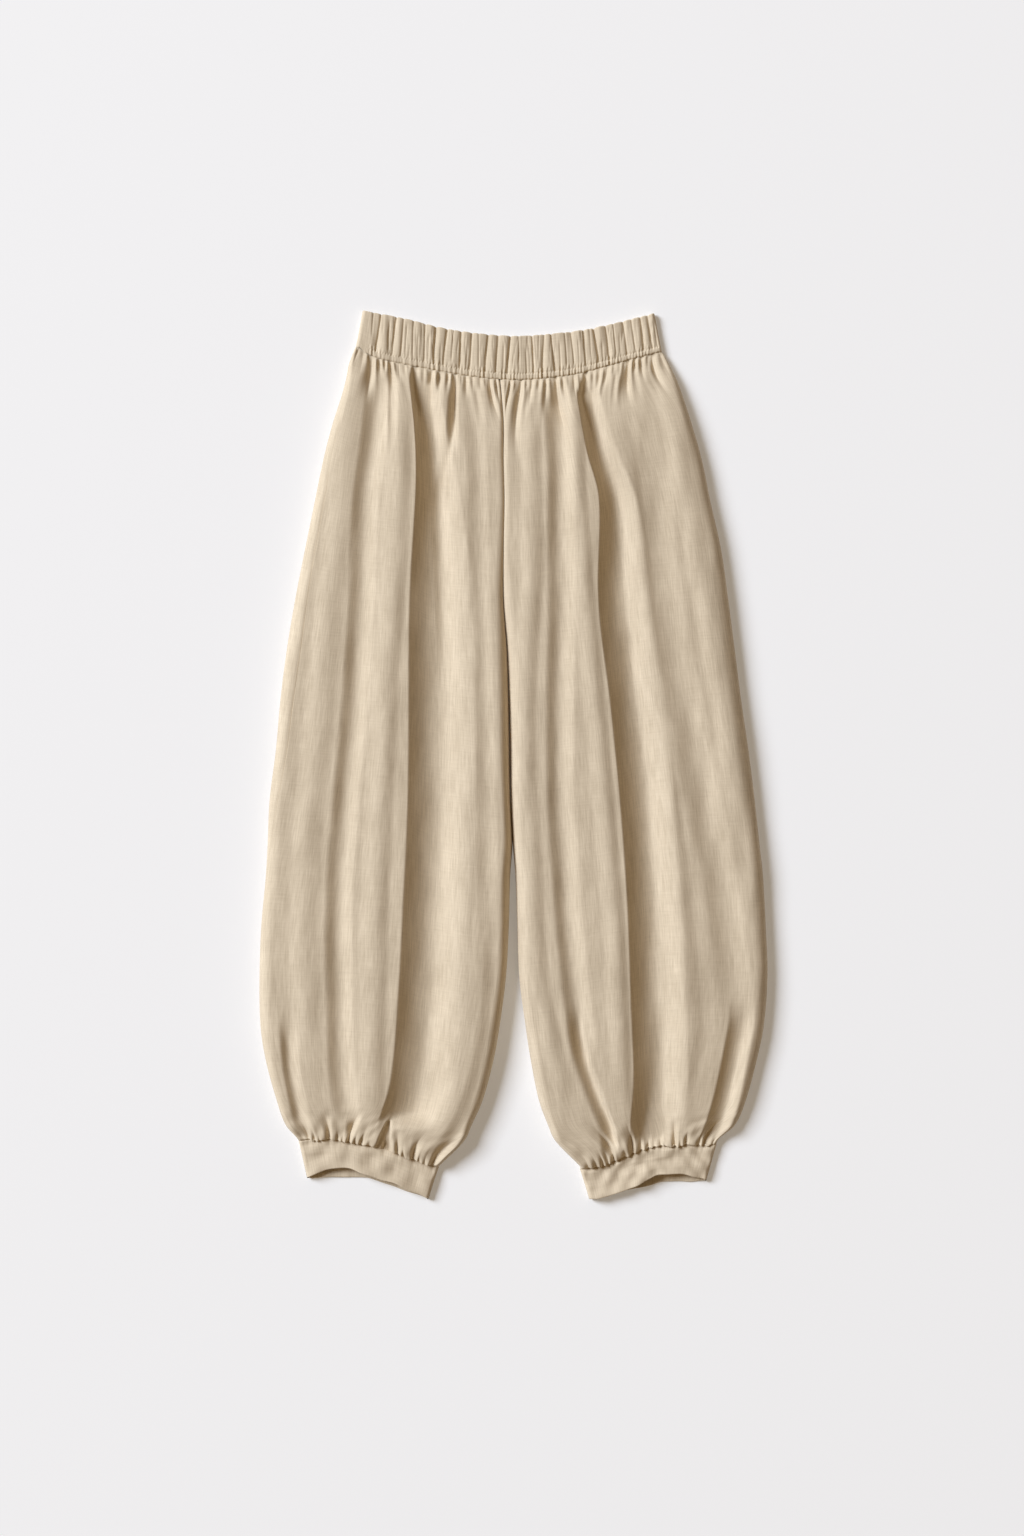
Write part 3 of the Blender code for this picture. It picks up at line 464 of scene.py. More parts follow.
def front_height(leg, x, y, sizes, seam_distance, hem_distance, x_seam, x_hem):
    """Height of the front's upper side, without its rounded edges."""
    share = sizes["share"]
    across_share = np.clip(np.abs(x - sizes["side"]) / sizes["width"], 0.0, 1.0)
    dome = np.sin(math.pi * np.minimum(across_share * 1.25 + 0.08, 1.0) * 0.5) ** 2
    height = puff(share, 2) + (puff(share, 1) - puff(share, 2)) * dome
    calm = ramp(0, 30, seam_distance) * ramp(0, 22, hem_distance)
    for fold_leg, kind, minus_width, plus_width, depth, fade_up, fade_down, path in FOLDS:
        if fold_leg != leg:
            continue
        path = tuple(sorted(path))
        offset = x - curve(path, y)
        fade = ramp(path[0][0] - fade_down, path[0][0] + fade_down, y)
        fade = fade * (1 - ramp(path[-1][0] - fade_up, path[-1][0] + fade_up, y)) * calm
        narrow = 0.42 + 0.58 * ramp(10, 300, seam_distance) if kind == "left_edge" else 1.0
        height = height - depth * fade * fold_profile(kind, offset, minus_width * narrow, plus_width * narrow)
    waist_gathers = gathers(WAIST_CREASES, leg, x_seam, seam_distance, WAIST_LENGTH_FACTOR)
    hem_gathers = gathers(HEM_CREASES, leg, x_hem, hem_distance - HEM_TUCK, HEM_LENGTH_FACTOR)
    height = height - WAIST_DEPTH_FACTOR * waist_gathers - HEM_DEPTH_FACTOR * hem_gathers
    near_waist = ramp(1, 6, seam_distance) * (1 - ramp(10, 60, seam_distance))
    near_hem = ramp(1, 5, hem_distance) * (1 - ramp(8, 50, hem_distance))
    height = height + 0.7 * crinkle(x_seam, 5, 6, 15) * near_waist
    at_waist = ramp(0.5, 3, seam_distance) * (1 - ramp(4, 18, seam_distance))
    height = height + 0.6 * crinkle(x_seam, 15, 4, 8) * at_waist
    height = height + 0.75 * unevenness(x_hem, hem_distance, 6, 9, 28) * near_hem
    height = height + ripples(x, y, RIPPLE_SEED[leg], 6, 34, 110, 0.30) * calm
    height = height + 0.30 * unevenness(x, 0.45 * y, HOLLOW_SEED[leg], 22, 60, 12) * calm
    if leg == "right":
        height = height - notch_depth(x, y) * ramp(0, 4, hem_distance)
    floor = np.minimum(5.6, 4.6 + 0.5 * seam_distance)
    return 0.5 * (height + floor + np.sqrt((height - floor) ** 2 + 1.5))


def hem_overhang(leg, x_hem, hem_distance):
    """How far the puffed cloth hangs over the cuff's seam, in -Y."""
    (_, hem_ends) = leg_seam_ends(leg)
    low, high = min(hem_ends), max(hem_ends)
    inside = ramp(low + 1, low + 14, x_hem) * (1 - ramp(high - 14, high - 1, x_hem))
    groove = np.zeros_like(x_hem)
    for x, minus_width, plus_width, deep, _ in HEM_CREASES[leg]:
        groove = np.maximum(groove, min(deep / 4.0, 1.0) * crease(x_hem - x, minus_width, plus_width))
    reach = (4.6 + 1.2 * crinkle(x_hem, 41, 14, 40)) * (1 - 0.8 * groove) * inside
    return reach * ramp(HEM_TUCK, 4.6, hem_distance) * (1 - ramp(7, 26, hem_distance))


def ease(share):
    return 0.35 * share + 0.65 * share * share * (3 - 2 * share)


def columns_at_seam(table, leg, u, first, last):
    """x at share u of a seam, from its side end to its inner end."""
    outer, deep, inner = table[leg]
    outer_stops, inner_stops = (first,) + outer + (deep,), (deep,) + inner + (last,)
    outer_x = np.interp(2 * u, np.linspace(0, 1, len(outer_stops)), outer_stops)
    inner_x = np.interp(2 * u - 1, np.linspace(0, 1, len(inner_stops)), inner_stops)
    return np.where(u < 0.5, outer_x, inner_x)


def top_path(sizes, p):
    """Distance from the side, and the share of each rounded edge, at p along the upper side."""
    a, b = quarter(sizes["radius"], 12), quarter(sizes["inner_radius"], 12)
    flat = sizes["width"] - sizes["radius"] - sizes["inner_radius"]
    side_angle = 0.5 * math.pi * np.clip(p / a, 0, 1)
    inner_angle = 0.5 * math.pi * np.clip((a + flat + b - p) / b, 0, 1)
    distance = np.where(
        p < a,
        sizes["radius"] * (1 - np.cos(side_angle)),
        np.where(
            p > a + flat,
            sizes["width"] - sizes["inner_radius"] * (1 - np.cos(inner_angle)),
            sizes["radius"] + p - a,
        ),
    )
    return distance, np.sin(side_angle), np.sin(inner_angle)


def top_length(sizes):
    ends = quarter(sizes["radius"], 12) + quarter(sizes["inner_radius"], 12)
    return ends + sizes["width"] - sizes["radius"] - sizes["inner_radius"]


def p_of_distance(sizes, distance):
    a, b = quarter(sizes["radius"], 12), quarter(sizes["inner_radius"], 12)
    left = sizes["width"] - distance
    at_side = a * np.arccos(np.clip(1 - distance / sizes["radius"], -1, 1)) / (0.5 * math.pi)
    inner_turn = b * np.arccos(np.clip(1 - left / sizes["inner_radius"], -1, 1)) / (0.5 * math.pi)
    at_inner = top_length(sizes) - inner_turn
    between = a + distance - sizes["radius"]
    past_side = np.where(left < sizes["inner_radius"], at_inner, between)
    return np.where(distance < sizes["radius"], at_side, past_side)


def leg_levels(leg, x_seam, x_hem, share):
    upper = curve(WAIST_SEAM, x_seam) + TUCK
    lower = curve(HEM_SEAM[leg], x_hem) - HEM_TUCK
    return upper + (lower - upper) * share, upper, lower


def top_point(leg, p, y, share, seam_distance, hem_distance, x_seam, x_hem):
    sizes = leg_section(leg, y, share, seam_distance)
    distance, side_share, inner_share = top_path(sizes, p)
    x = sizes["side"] + across(leg) * distance
    height = front_height(leg, x, y, sizes, seam_distance, hem_distance, x_seam, x_hem)
    height = sizes["edge"] + (height - sizes["edge"]) * side_share
    height = sizes["inner_edge"] + (height - sizes["inner_edge"]) * inner_share
    y = y - hem_overhang(leg, x_hem, hem_distance) * side_share * inner_share
    return np.stack([x, y, height], axis=-1)


def leg_ends(leg):
    if leg == "right":
        return WAIST_SEAM[0][0], HEM_SEAM[leg][0][0], HEM_SEAM[leg][-1][0]
    return WAIST_SEAM[-1][0], HEM_SEAM[leg][-1][0], HEM_SEAM[leg][0][0]


def leg_seam_ends(leg):
    side_at_seam, side_at_hem, inner_at_hem = leg_ends(leg)
    inset = SEAM_INSET[leg]
    return (side_at_seam + inset, WAIST_INNER), (side_at_hem + inset, inner_at_hem)


def seam_start(leg, sizes, y):
    if leg == "left":
        return np.zeros_like(y)
    return p_of_distance(sizes, curve(LEVEL_LINES["right_seam"], y) - sizes["side"])


def front_surface(leg, u, share):
    """The front's upper side: u from its side seam to its inner seam, share from waist to hem."""
    waist_ends, hem_ends = leg_seam_ends(leg)
    x_seam = columns_at_seam(WAIST_GATHERS, leg, u, *waist_ends)
    x_hem = columns_at_seam(HEM_GATHERS, leg, u, *hem_ends)
    y, upper, lower = leg_levels(leg, x_seam, x_hem, share)
    sizes = leg_section(leg, y, share, share * (upper - lower))
    start = seam_start(leg, sizes, y) + (HALF_GAP if leg == "left" else -SIDE_LAP)
    end = top_length(sizes) - HALF_GAP
    middle = p_of_distance(sizes, np.abs(curve(LEVEL_LINES[leg + "_fold"], y) - sizes["side"]))
    even = np.where(
        u < 0.5,
        start + (middle - start) * ease(np.clip(2 * u, 0, 1)),
        middle + (end - middle) * ease(np.clip(2 * u - 1, 0, 1)),
    )
    p = even
    length = upper - lower
    low, high = top_path(sizes, start)[0], top_path(sizes, end)[0]
    for near, x, ends in (
        (1 - ramp(0, 70, share * length), x_seam, waist_ends),
        (1 - ramp(0, 50, (1 - share) * length), x_hem, hem_ends),
    ):
        part = (x - ends[0]) / (ends[1] - ends[0])
        gathered = low + (high - low) * part
        inside = ramp(0, 0.06, part) * (1 - ramp(0.94, 1, part))
        gathered = gathered + (np.abs(x - sizes["side"]) - gathered) * inside
        p = p + (p_of_distance(sizes, gathered) - even) * near
    return top_point(leg, p, y, share, share * length, (1 - share) * length, x_seam, x_hem)


def back_height(leg, x, y, seam_distance, hem_distance):
    """Height of the troughs in the back's underside."""
    height = np.zeros_like(x)
    for fold_leg, half, rise, y_up, y_low, x_up, x_low in BACK_FOLDS:
        if fold_leg == leg:
            along = (y - y_up) / (y_low - y_up)
            fade = ramp(y_low - 30, y_low + 50, y) * (1 - ramp(y_up - 50, y_up + 30, y))
            height = np.maximum(height, rise * fade * bump(x - x_up - (x_low - x_up) * along, half, half))
    for table, distance in ((WAIST_GATHERS, seam_distance), (HEM_GATHERS, hem_distance)):
        wave = gather_wave(all_grooves(table, leg), x)
        height = np.maximum(height, BACK_GATHER_HEIGHT * (1 - ramp(12, 40, distance)) * wave)
    return height


def back_surface(leg, u, share):
    """The back's outer side, which goes from the side seam round the edge and under the leg."""
    turn_share = 0.22
    side_at_seam, side_at_hem, inner_at_hem = leg_ends(leg)
    part, x, near_seam, near_hem = u, 0.0, 0.0, 0.0
    for _ in range(5):
        x_seam = side_at_seam + (WAIST_INNER - side_at_seam) * part
        x_hem = side_at_hem + (inner_at_hem - side_at_hem) * part
        x_seam = x_seam + (np.clip(x, *sorted((side_at_seam, WAIST_INNER))) - x_seam) * near_seam
        x_hem = x_hem + (np.clip(x, *sorted((side_at_hem, inner_at_hem))) - x_hem) * near_hem
        y, upper, lower = leg_levels(leg, x_seam, x_hem, share)
        sizes = leg_section(leg, y, share, share * (upper - lower))
        radius, edge, width = sizes["radius"], sizes["edge"], sizes["width"]
        turn = quarter(radius, edge)
        flat = width - 2 * radius
        low = HALF_GAP - seam_start(leg, sizes, y)
        high = 2 * turn + flat - HALF_GAP
        q = np.where(
            u < turn_share,
            low + (turn - low) * u / turn_share,
            high - (high - turn) * (1 - u) / (1 - turn_share),
        )
        side_angle = 0.5 * math.pi * np.clip(q / turn, 0, 1)
        inner_angle = 0.5 * math.pi * np.clip((2 * turn + flat - q) / turn, 0, 1)
        on_top = q < 0
        distance = np.where(
            on_top,
            top_path(sizes, np.maximum(-q, 0))[0],
            np.where(
                q < turn,
                radius * (1 - np.cos(side_angle)),
                np.where(q > turn + flat, width - radius * (1 - np.cos(inner_angle)), radius + q - turn),
            ),
        )
        height = edge * (1 - np.sin(side_angle)) + sizes["back_inner_edge"] * (1 - np.sin(inner_angle))
        part = distance / width
        x = sizes["side"] + across(leg) * distance
        inside = ramp(0, 0.08, part) * (1 - ramp(0.92, 1, part))
        near_seam = (1 - ramp(0, 70, share * (upper - lower))) * inside
        near_hem = (1 - ramp(0, 50, (1 - share) * (upper - lower))) * inside
    seam_distance, hem_distance = share * (upper - lower), (1 - share) * (upper - lower)
    height = height + bump(part - 0.5, 0.5, 0.5) * back_height(leg, x, y, seam_distance, hem_distance)
    tucked = (1 - ramp(0, 4, seam_distance)) + (1 - ramp(0, 4, hem_distance))
    height = height + 1.0 * tucked * (1 - ramp(1, 3, height))
    under = np.stack([x, y, height], axis=-1)
    upper_side = top_point(leg, np.maximum(-q, 0), y, share, seam_distance, hem_distance, x_seam, x_hem)
    upper_side[..., 2] -= 0.45 * (1 - ramp(0.8, 3.5, q - low))
    return np.where(on_top[..., None], upper_side, under)


# The waistband and the cuffs


def pleat_depth(x, share):
    """Depth of the casing's pleats at a share of the band from its upper edge."""
    depth = np.zeros_like(x)
    for top, low, deep, start, end in BAND_PLEATS:
        offset = x - (top + (low - top) * share) - 0.5 * np.sin(3.1 * share + top)
        begun = ramp(start - PLEAT_FADE, start + PLEAT_FADE, share) if start > 0 else 1.0
        goes_on = 1 - ramp(end - PLEAT_FADE, end + PLEAT_FADE, share) if end < 1 else 1.0
        groove = 1.25 * crease(offset, 2.2, 1.6) + 0.7 * np.exp(-(offset / 3.2) ** 2)
        depth = depth + deep * begun * goes_on * groove
    return depth


def fine_creases(x, share):
    """Thin creases of the casing between its pleats, leaning either way."""
    rng = np.random.default_rng(FINE_CREASE_SEED)
    depth = np.zeros_like(x)
    for _ in range(90):
        at, lean, middle = rng.uniform(-150, 160), rng.uniform(-6, 6), rng.uniform(0, 0.85)
        reach, deep = rng.uniform(0.14, 0.45), rng.uniform(0.15, 0.6)
        offset = x - at - lean * (share - 0.5) - 0.6 * np.sin(6 * share + at)
        depth = depth + deep * bump(share - middle, reach, reach) * crease(offset, 2.2, 1.3)
    return depth


def rib_lean(x, share):
    """Each rib between two deep pleats leans a little to one side."""
    deep = [row for row in BAND_PLEATS if row[2] >= 0.8]
    rng = np.random.default_rng(RIB_SEED)
    lean = np.zeros_like(x)
    for first, second in zip(deep[:-1], deep[1:]):
        low = first[0] + (first[1] - first[0]) * share + 0.6
        high = second[0] + (second[1] - second[0]) * share - 0.6
        t = (x - low) / (high - low)
        inside = ramp(0, 0.12, t) * (1 - ramp(0.88, 1, t))
        lean = lean + rng.uniform(-0.9, 0.9) * (t - 0.5) * inside
        lean = lean + 0.5 * inside * np.sin(math.pi * np.clip(t, 0, 1))
    return lean


def casing_relief(x, share, length):
    """Relief of the casing's outer side: pleats, the stitched row and the puckers under it."""
    edge_distance = length * (1 - share)
    stitch_distance = length * (share - STITCH_SHARE)
    below = ramp(-1.5, 1.5, stitch_distance)
    relief = rib_lean(x, share) - 1.15 * pleat_depth(x, share) - fine_creases(x, share)
    relief = relief * (1 - 0.7 * below) - 0.8 * np.exp(-(stitch_distance / 0.9) ** 2)
    stitches = np.clip(np.sin(2 * math.pi * x / STITCH_PITCH) + 0.35, 0, 1)
    relief = relief + 0.75 * stitches * np.exp(-(stitch_distance / 0.7) ** 2)
    puckers = crinkle(x, 3, 3.0, 7.0) * (1 + 0.5 * crinkle(x, 4, 14, 40))
    relief = relief + below * (0.2 + 0.38 * puckers) + (1 - below) * 0.3 * crinkle(x, 9, 7, 20)
    relief = relief + 0.35 * puckers * np.exp(-((stitch_distance + 2.5) / 2.2) ** 2)
    relief = relief - 1.3 * np.clip(1 - edge_distance / 1.6, 0, 1) ** 2
    calm_end = ramp(-166, -152, x)
    return relief * (0.2 + 0.8 * calm_end)


def cuff_relief(leg, x, share, length):
    """Relief of a cuff's outer side: dents under the gathers and a soft crease along it."""
    seam_distance = length * share
    hollows = np.zeros_like(x)
    for at, minus_width, plus_width, deep, _ in HEM_CREASES[leg]:
        hollows = np.maximum(hollows, 0.22 * deep * crease(x - at, minus_width + 1, plus_width + 1))
    relief = -hollows * (1 - ramp(1, 12, seam_distance))
    seed = CUFF_SEED[leg]
    line = 0.45 + 0.10 * crinkle(x, seed, 60, 120, 3)
    strength = np.clip(0.4 + 0.6 * crinkle(x, seed + 1, 50, 110, 3), 0, 1)
    relief = relief - 1.1 * strength * bump((share - line) * length, 5, 7)
    hollow = unevenness(x, seam_distance, seed + 2, 12, 42, 12)
    relief = relief + 1.1 * hollow * ramp(0, 6, seam_distance)
    return relief - 0.8 * np.clip(1 - seam_distance / 1.4, 0, 1) ** 2


def strip_surface(shape, u, share):
    """A band's outer side, from its -X end to its +X end and from its upper edge to its lower one."""
    minus_end = shape["minus"][0] + (shape["minus"][1] - shape["minus"][0]) * share
    plus_end = shape["plus"][0] + (shape["plus"][1] - shape["plus"][0]) * share
    width = plus_end - minus_end
    radius, edge = shape["radius"], shape["edge"]
    turn = quarter(radius, edge)
    total = 2 * turn + width - 2 * radius
    p = HALF_GAP + (total - 2 * HALF_GAP) * u
    minus_angle = 0.5 * math.pi * np.clip(p / turn, 0, 1)
    plus_angle = 0.5 * math.pi * np.clip((total - p) / turn, 0, 1)
    part = np.sin(minus_angle) * np.sin(plus_angle)
    distance = np.where(
        p < turn,
        radius * (1 - np.cos(minus_angle)),
        np.where(p > total - turn, width - radius * (1 - np.cos(plus_angle)), radius + p - turn),
    )
    x = minus_end + distance
    upper, lower = curve(shape["upper"], x), curve(shape["lower"], x)
    y = upper + (lower - upper) * share
    arch = shape["arch"] * bump(distance / width - 0.5, 0.5, 0.5) * share
    far = 0.0 if shape["below"] else shape["top"] + arch
    height = edge + (far - edge) * part
    if shape["leg"]:
        relief = cuff_relief(shape["leg"], x, share, upper - lower)
        y = y + 0.5 * crinkle(x, 51, 18, 50) * share * part
    else:
        relief = casing_relief(x, share, upper - lower)
        y = y - (0.55 * pleat_depth(x, share) * (1 - ramp(0.0, 0.5, share))) * part
        y = y + 0.35 * crinkle(x, 13, 4, 12) * ramp(STITCH_SHARE, 1, share) * part
    relief = relief * part * part
    height = height + (np.maximum(-relief, 0) * 0.8 if shape["below"] else relief)
    return np.stack([x, y, height], axis=-1)


def folded_rows(outer, wall, upward, inner_step):
    """A band's whole section, from its seam up the outer side, round the fold and down the inner side.

    outer is the outer side's points with the fold's edge last.
    """
    du = np.gradient(outer, axis=1)
    dv = np.gradient(outer, axis=0)
    normal = np.cross(du, dv)
    normal[..., 1] = 0.0
    normal /= np.linalg.norm(normal, axis=-1, keepdims=True)
    if (normal[..., 2].mean() > 0) != upward:
        normal = -normal
    smooth = normal.copy()
    for _ in range(24):
        smooth[:, 1:-1] = (smooth[:, :-2] + smooth[:, 1:-1] + smooth[:, 2:]) / 3
    smooth /= np.linalg.norm(smooth, axis=-1, keepdims=True)
    on = dv[-1] / np.linalg.norm(dv[-1], axis=-1, keepdims=True)
    centre = outer[-1] - smooth[-1] * wall / 2
    angles = np.radians((22, 45, 67, 90, 113, 135, 158))
    turn = [centre + wall / 2 * (smooth[-1] * np.cos(a) + on * np.sin(a)) for a in angles]
    inner = (outer - smooth * wall)[::-1][::inner_step]
    return np.concatenate([outer, np.stack(turn), inner])


# Making the pieces


def grid_piece(name, points, upward):
    """A sheet through a grid of points (rows, columns, 3) in millimetres, its upper or lower side outwards."""
    rows, columns = points.shape[:2]
    sheet = bmesh.new()
    bmesh.ops.create_grid(sheet, x_segments=columns - 1, y_segments=rows - 1, size=0.5)
    mesh = bpy.data.meshes.new(name)
    sheet.to_mesh(mesh)
    sheet.free()
    place = np.empty(len(mesh.vertices) * 3)
    mesh.vertices.foreach_get("co", place)
    place = place.reshape(-1, 3)
    column = np.rint((place[:, 0] + 0.5) * (columns - 1)).astype(int)
    row = np.rint((place[:, 1] + 0.5) * (rows - 1)).astype(int)
    mesh.vertices.foreach_set("co", (points[row, column] * MM).ravel())
    across_length = np.linalg.norm(np.diff(points[rows // 2], axis=0), axis=1).cumsum()
    down_length = np.linalg.norm(np.diff(points[:, columns // 2], axis=0), axis=1).cumsum()
    across_length = np.concatenate([[0], across_length]) * MM
    down_length = np.concatenate([[0], down_length]) * MM
    corners = np.empty(len(mesh.loops), dtype=int)
    mesh.loops.foreach_get("vertex_index", corners)
    cut = np.stack([across_length[column[corners]], -down_length[row[corners]]], axis=1)
    mesh.uv_layers.new(name="cut").data.foreach_set("uv", cut.ravel())
    if (mean_facing(points) > 0) != upward:
        mesh.flip_normals()
    mesh.update()
    mesh.shade_smooth()
    piece = bpy.data.objects.new(name, mesh)
    bpy.context.scene.collection.objects.link(piece)
    return piece


def thicken(piece, wall):
    solidify = piece.modifiers.new("cloth_thickness", "SOLIDIFY")
    solidify.thickness = wall * MM
    solidify.offset = -1
    return piece


def mean_facing(points):
    return np.cross(np.gradient(points, axis=1), np.gradient(points, axis=0))[..., 2].mean()


def even_grid(columns, rows):
    """u and share at every point of a grid with rows from 0 to 1."""
    return np.meshgrid(np.linspace(0, 1, columns), rows)


def leg_row_shares(length=880.0):
    """Rows of a leg's mesh, close together at the seams."""
    upper = 58 * np.linspace(0, 1, 42) ** 1.4 / length
    lower = 1 - (58 * np.linspace(0, 1, 44) ** 1.5)[::-1] / length
    middle = np.linspace(upper[-1], lower[0], 112)[1:-1]
    return np.concatenate([upper, middle, lower])


# Materials

LINEN_LIGHT = (0.745, 0.628, 0.462)
LINEN_DARK = (0.54, 0.443, 0.312)
WEAVE_RELIEF = 0.22


def linen_group():
    """Weave, slubs and soft shade of plain linen, on the cloth's own cut map."""
    group = bpy.data.node_groups.new("plain_linen", "ShaderNodeTree")
    group.interface.new_socket("Light", in_out="INPUT", socket_type="NodeSocketColor")
    group.interface.new_socket("Dark", in_out="INPUT", socket_type="NodeSocketColor")
    group.interface.new_socket("Color", in_out="OUTPUT", socket_type="NodeSocketColor")
    group.interface.new_socket("Roughness", in_out="OUTPUT", socket_type="NodeSocketFloat")
    group.interface.new_socket("Height", in_out="OUTPUT", socket_type="NodeSocketFloat")
    nodes, links = group.nodes, group.links
    entry, leave = nodes.new("NodeGroupInput"), nodes.new("NodeGroupOutput")
    place = nodes.new("ShaderNodeUVMap")
    place.uv_map = "cut"

    def stretched(scale):
        mapping = nodes.new("ShaderNodeMapping")
        mapping.inputs["Scale"].default_value = scale
        links.new(place.outputs["UV"], mapping.inputs["Vector"])
        return mapping.outputs["Vector"]

    def noise(scale, detail, rough=0.55):
        node = nodes.new("ShaderNodeTexNoise")
        node.inputs["Scale"].default_value = 1.0
        node.inputs["Detail"].default_value = detail
        node.inputs["Roughness"].default_value = rough
        links.new(stretched(scale), node.inputs["Vector"])
        return node.outputs["Fac"]

    def wave(direction, scale):
        node = nodes.new("ShaderNodeTexWave")
        node.bands_direction = direction
        node.inputs["Scale"].default_value = 1.0
        node.inputs["Distortion"].default_value = 3.5
        node.inputs["Detail"].default_value = 2.0
        node.inputs["Detail Scale"].default_value = 0.6
        links.new(stretched(scale), node.inputs["Vector"])
        return node.outputs["Fac"]

    def math_node(kind, a, b):
        node = nodes.new("ShaderNodeMath")
        node.operation = kind
        for socket, value in zip(node.inputs, (a, b)):
            if isinstance(value, (int, float)):
                socket.default_value = value
            else:
                links.new(value, socket)
        return node.outputs["Value"]

    warp_slub = noise((760, 34, 1), 4, 0.65)
    weft_slub = noise((40, 640, 1), 4, 0.6)
    mottle = noise((60, 14, 1), 4, 0.6)
    threads = math_node("MULTIPLY", wave("X", (470, 470, 470)), wave("Y", (440, 440, 440)))
    slubs = math_node("ADD", math_node("MULTIPLY", warp_slub, 0.74), math_node("MULTIPLY", weft_slub, 0.26))
    shade = math_node("ADD", math_node("MULTIPLY", slubs, 0.7), math_node("MULTIPLY", mottle, 0.3))
    spread = nodes.new("ShaderNodeMapRange")
    spread.inputs["From Min"].default_value = 0.38
    spread.inputs["From Max"].default_value = 0.62
    links.new(shade, spread.inputs["Value"])
    colour = nodes.new("ShaderNodeMix")
    colour.data_type = "RGBA"
    links.new(spread.outputs["Result"], colour.inputs["Factor"])
    links.new(entry.outputs["Dark"], colour.inputs[6])
    links.new(entry.outputs["Light"], colour.inputs[7])
    links.new(colour.outputs[2], leave.inputs["Color"])
    rough = nodes.new("ShaderNodeMapRange")
    rough.inputs["To Min"].default_value = 0.78
    rough.inputs["To Max"].default_value = 0.93
    links.new(slubs, rough.inputs["Value"])
    links.new(rough.outputs["Result"], leave.inputs["Roughness"])
    links.new(
        math_node("ADD", math_node("MULTIPLY", threads, 0.07), math_node("MULTIPLY", slubs, 1.3)),
        leave.inputs["Height"],
    )
    return group


def linen(name, group):
    """A material of the plain linen."""
    material = bpy.data.materials.new(name)
    material.use_nodes = True
    nodes, links = material.node_tree.nodes, material.node_tree.links
    shader = nodes["Principled BSDF"]
    cloth = nodes.new("ShaderNodeGroup")
    cloth.node_tree = group
    cloth.inputs["Light"].default_value = (*LINEN_LIGHT, 1)
    cloth.inputs["Dark"].default_value = (*LINEN_DARK, 1)
    links.new(cloth.outputs["Color"], shader.inputs["Base Color"])
    links.new(cloth.outputs["Roughness"], shader.inputs["Roughness"])
    shader.inputs["Specular IOR Level"].default_value = 0.25
    shader.inputs["Sheen Weight"].default_value = 0.18
    shader.inputs["Sheen Roughness"].default_value = 0.5
    weave = nodes.new("ShaderNodeBump")
    weave.inputs["Strength"].default_value = 0.5
    weave.inputs["Distance"].default_value = WEAVE_RELIEF * MM
    links.new(cloth.outputs["Height"], weave.inputs["Height"])
    links.new(weave.outputs["Normal"], shader.inputs["Normal"])
    return material


linen_cloth = linen_group()
panel_linen = linen("panel_linen", linen_cloth)
band_linen = linen("band_linen", linen_cloth)


def finish_piece(piece, material, node):
    """Gives a piece its material, puts it under the root body and hides the CAD part that it stands for."""
    piece.data.materials.append(material)
    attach(piece, "root")
    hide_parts(node)


# Leg panels
row_shares = leg_row_shares()
for leg in ("right", "left"):
    u, share = even_grid(FRONT_COLUMNS, row_shares)
    front = thicken(grid_piece("front_panel_" + leg, front_surface(leg, u, share), True), SHEET)
    finish_piece(front, panel_linen, "front_" + leg)
    u, share = even_grid(BACK_COLUMNS, row_shares)
    back = thicken(grid_piece("back_panel_" + leg, back_surface(leg, u, share), False), SHEET)
    finish_piece(back, panel_linen, "back_" + leg)

# Waistband
waist_shape = {
    **BAND, "minus": (-166, -173), "plus": (155, 163), "upper": WAIST_TOP, "lower": WAIST_SEAM, "leg": None,
}
for half, below in (("front", False), ("back", True)):
    shape = dict(waist_shape, below=below, edge=BAND["edge"] + (-HALF_GAP if below else HALF_GAP))
    u, share = even_grid(WAISTBAND_GRID[0], np.linspace(1, 0, WAISTBAND_GRID[1]))
    casing = folded_rows(strip_surface(shape, u, share), BAND_WALL, not below, 4)
    band = grid_piece("waistband_casing_" + half, casing, not below)
    finish_piece(band, band_linen, "waistband_" + half)

# Cuffs
for leg in ("right", "left"):
    seam = HEM_SEAM[leg]
    for half, below in (("front", False), ("back", True)):
        lower = (CUFF_BACK_EDGE if below else CUFF_FRONT_EDGE)[leg]
        shape = {
            **CUFF, "minus": (seam[0][0], lower[0][0]), "plus": (seam[-1][0], lower[-1][0]),
            "upper": seam, "lower": lower, "below": below, "leg": leg,
            "edge": CUFF["edge"] + (-HALF_GAP if below else HALF_GAP),
        }
        u, share = even_grid(CUFF_GRID[0], np.linspace(0, 1, CUFF_GRID[1]))
        band = folded_rows(strip_surface(shape, u, share), CUFF_WALL, not below, 3)
        cuff = grid_piece(f"cuff_band_{half}_{leg}", band, not below)
        finish_piece(cuff, band_linen, f"cuff_{half}_{leg}")

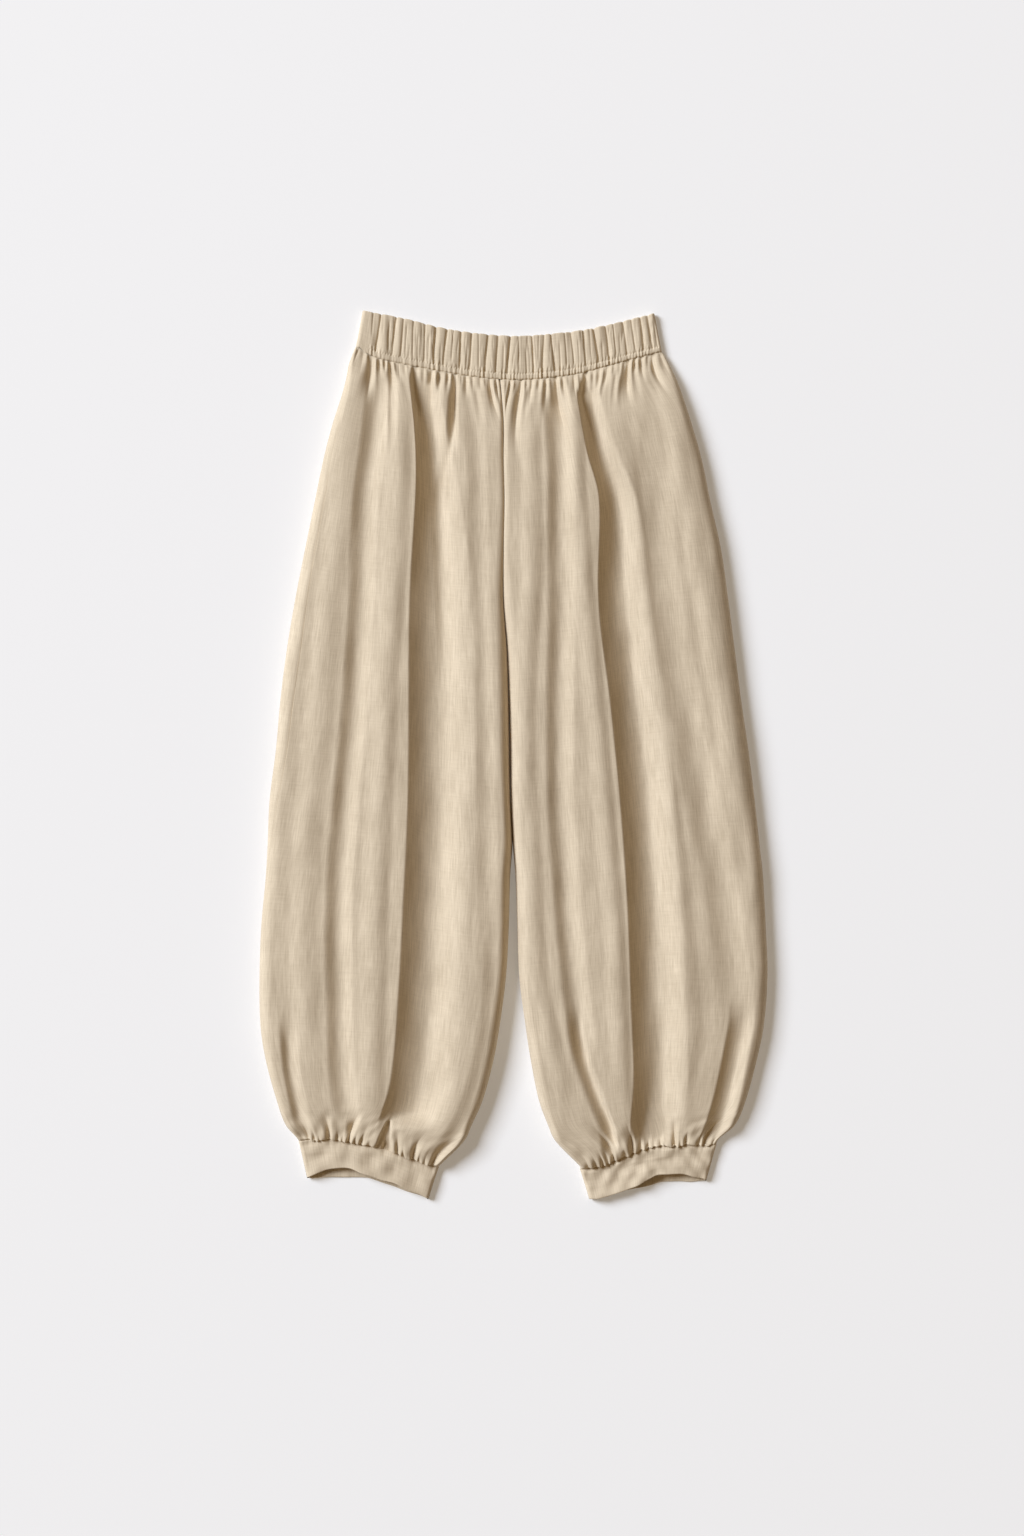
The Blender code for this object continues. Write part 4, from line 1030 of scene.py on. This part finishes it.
# Floor, camera and light
floor = bmesh.new()
bmesh.ops.create_grid(floor, x_segments=1, y_segments=1, size=6.0)
floor_mesh = bpy.data.meshes.new("pale_floor")
floor.to_mesh(floor_mesh)
floor.free()
pale_floor = bpy.data.objects.new("pale_floor", floor_mesh)
pale_floor.location.z = -0.0002
bpy.context.scene.collection.objects.link(pale_floor)
floor_paint = bpy.data.materials.new("floor_paint")
floor_paint.use_nodes = True
floor_shader = floor_paint.node_tree.nodes["Principled BSDF"]
floor_shader.inputs["Base Color"].default_value = (0.8, 0.8, 0.8, 1)
floor_shader.inputs["Roughness"].default_value = 0.9
floor_shader.inputs["Emission Color"].default_value = (1.0, 0.99, 0.95, 1)
floor_shader.inputs["Emission Strength"].default_value = 0.16
floor_mesh.materials.append(floor_paint)

# The camera looks straight down; the garment's origin is a little off the middle of the picture
CAMERA_HEIGHT = 4.0
PIXEL = 0.0011
PICTURE_HEIGHT = 1536
PICTURE_MIDDLE = (512, 768)
ORIGIN_IN_PICTURE = (513.5, 755)
camera_data = bpy.data.cameras.new("camera")
camera = bpy.data.objects.new("camera", camera_data)
camera.location = (
    (PICTURE_MIDDLE[0] - ORIGIN_IN_PICTURE[0]) * PIXEL,
    (ORIGIN_IN_PICTURE[1] - PICTURE_MIDDLE[1]) * PIXEL,
    CAMERA_HEIGHT,
)
camera_data.sensor_width = 36
camera_data.lens = camera_data.sensor_width * CAMERA_HEIGHT / (PICTURE_HEIGHT * PIXEL)
camera_data.clip_end = 50
bpy.context.scene.collection.objects.link(camera)
bpy.context.scene.camera = camera

# A large square lamp; its azimuth is measured from +X towards +Y
LAMP_AZIMUTH = math.radians(152)
LAMP_ELEVATION = math.radians(35.5)
LAMP_DISTANCE = 40.0
key_data = bpy.data.lights.new("key_light", "AREA")
key_data.size = 17.0
key_data.energy = 20200
key_data.color = (0.93, 1.0, 1.12)
key_light = bpy.data.objects.new("key_light", key_data)
key_light.location = (
    LAMP_DISTANCE * math.cos(LAMP_ELEVATION) * math.cos(LAMP_AZIMUTH),
    LAMP_DISTANCE * math.cos(LAMP_ELEVATION) * math.sin(LAMP_AZIMUTH),
    LAMP_DISTANCE * math.sin(LAMP_ELEVATION),
)
key_light.rotation_euler = (math.pi / 2 - LAMP_ELEVATION, 0, LAMP_AZIMUTH + math.pi / 2)
bpy.context.scene.collection.objects.link(key_light)
world = bpy.data.worlds.new("studio")
world.use_nodes = True
sky = world.node_tree.nodes["Background"]
sky.inputs["Color"].default_value = (1.0, 0.72, 0.42, 1)
sky.inputs["Strength"].default_value = 0.22
bpy.context.scene.world = world

bpy.context.scene.view_settings.view_transform = "Standard"
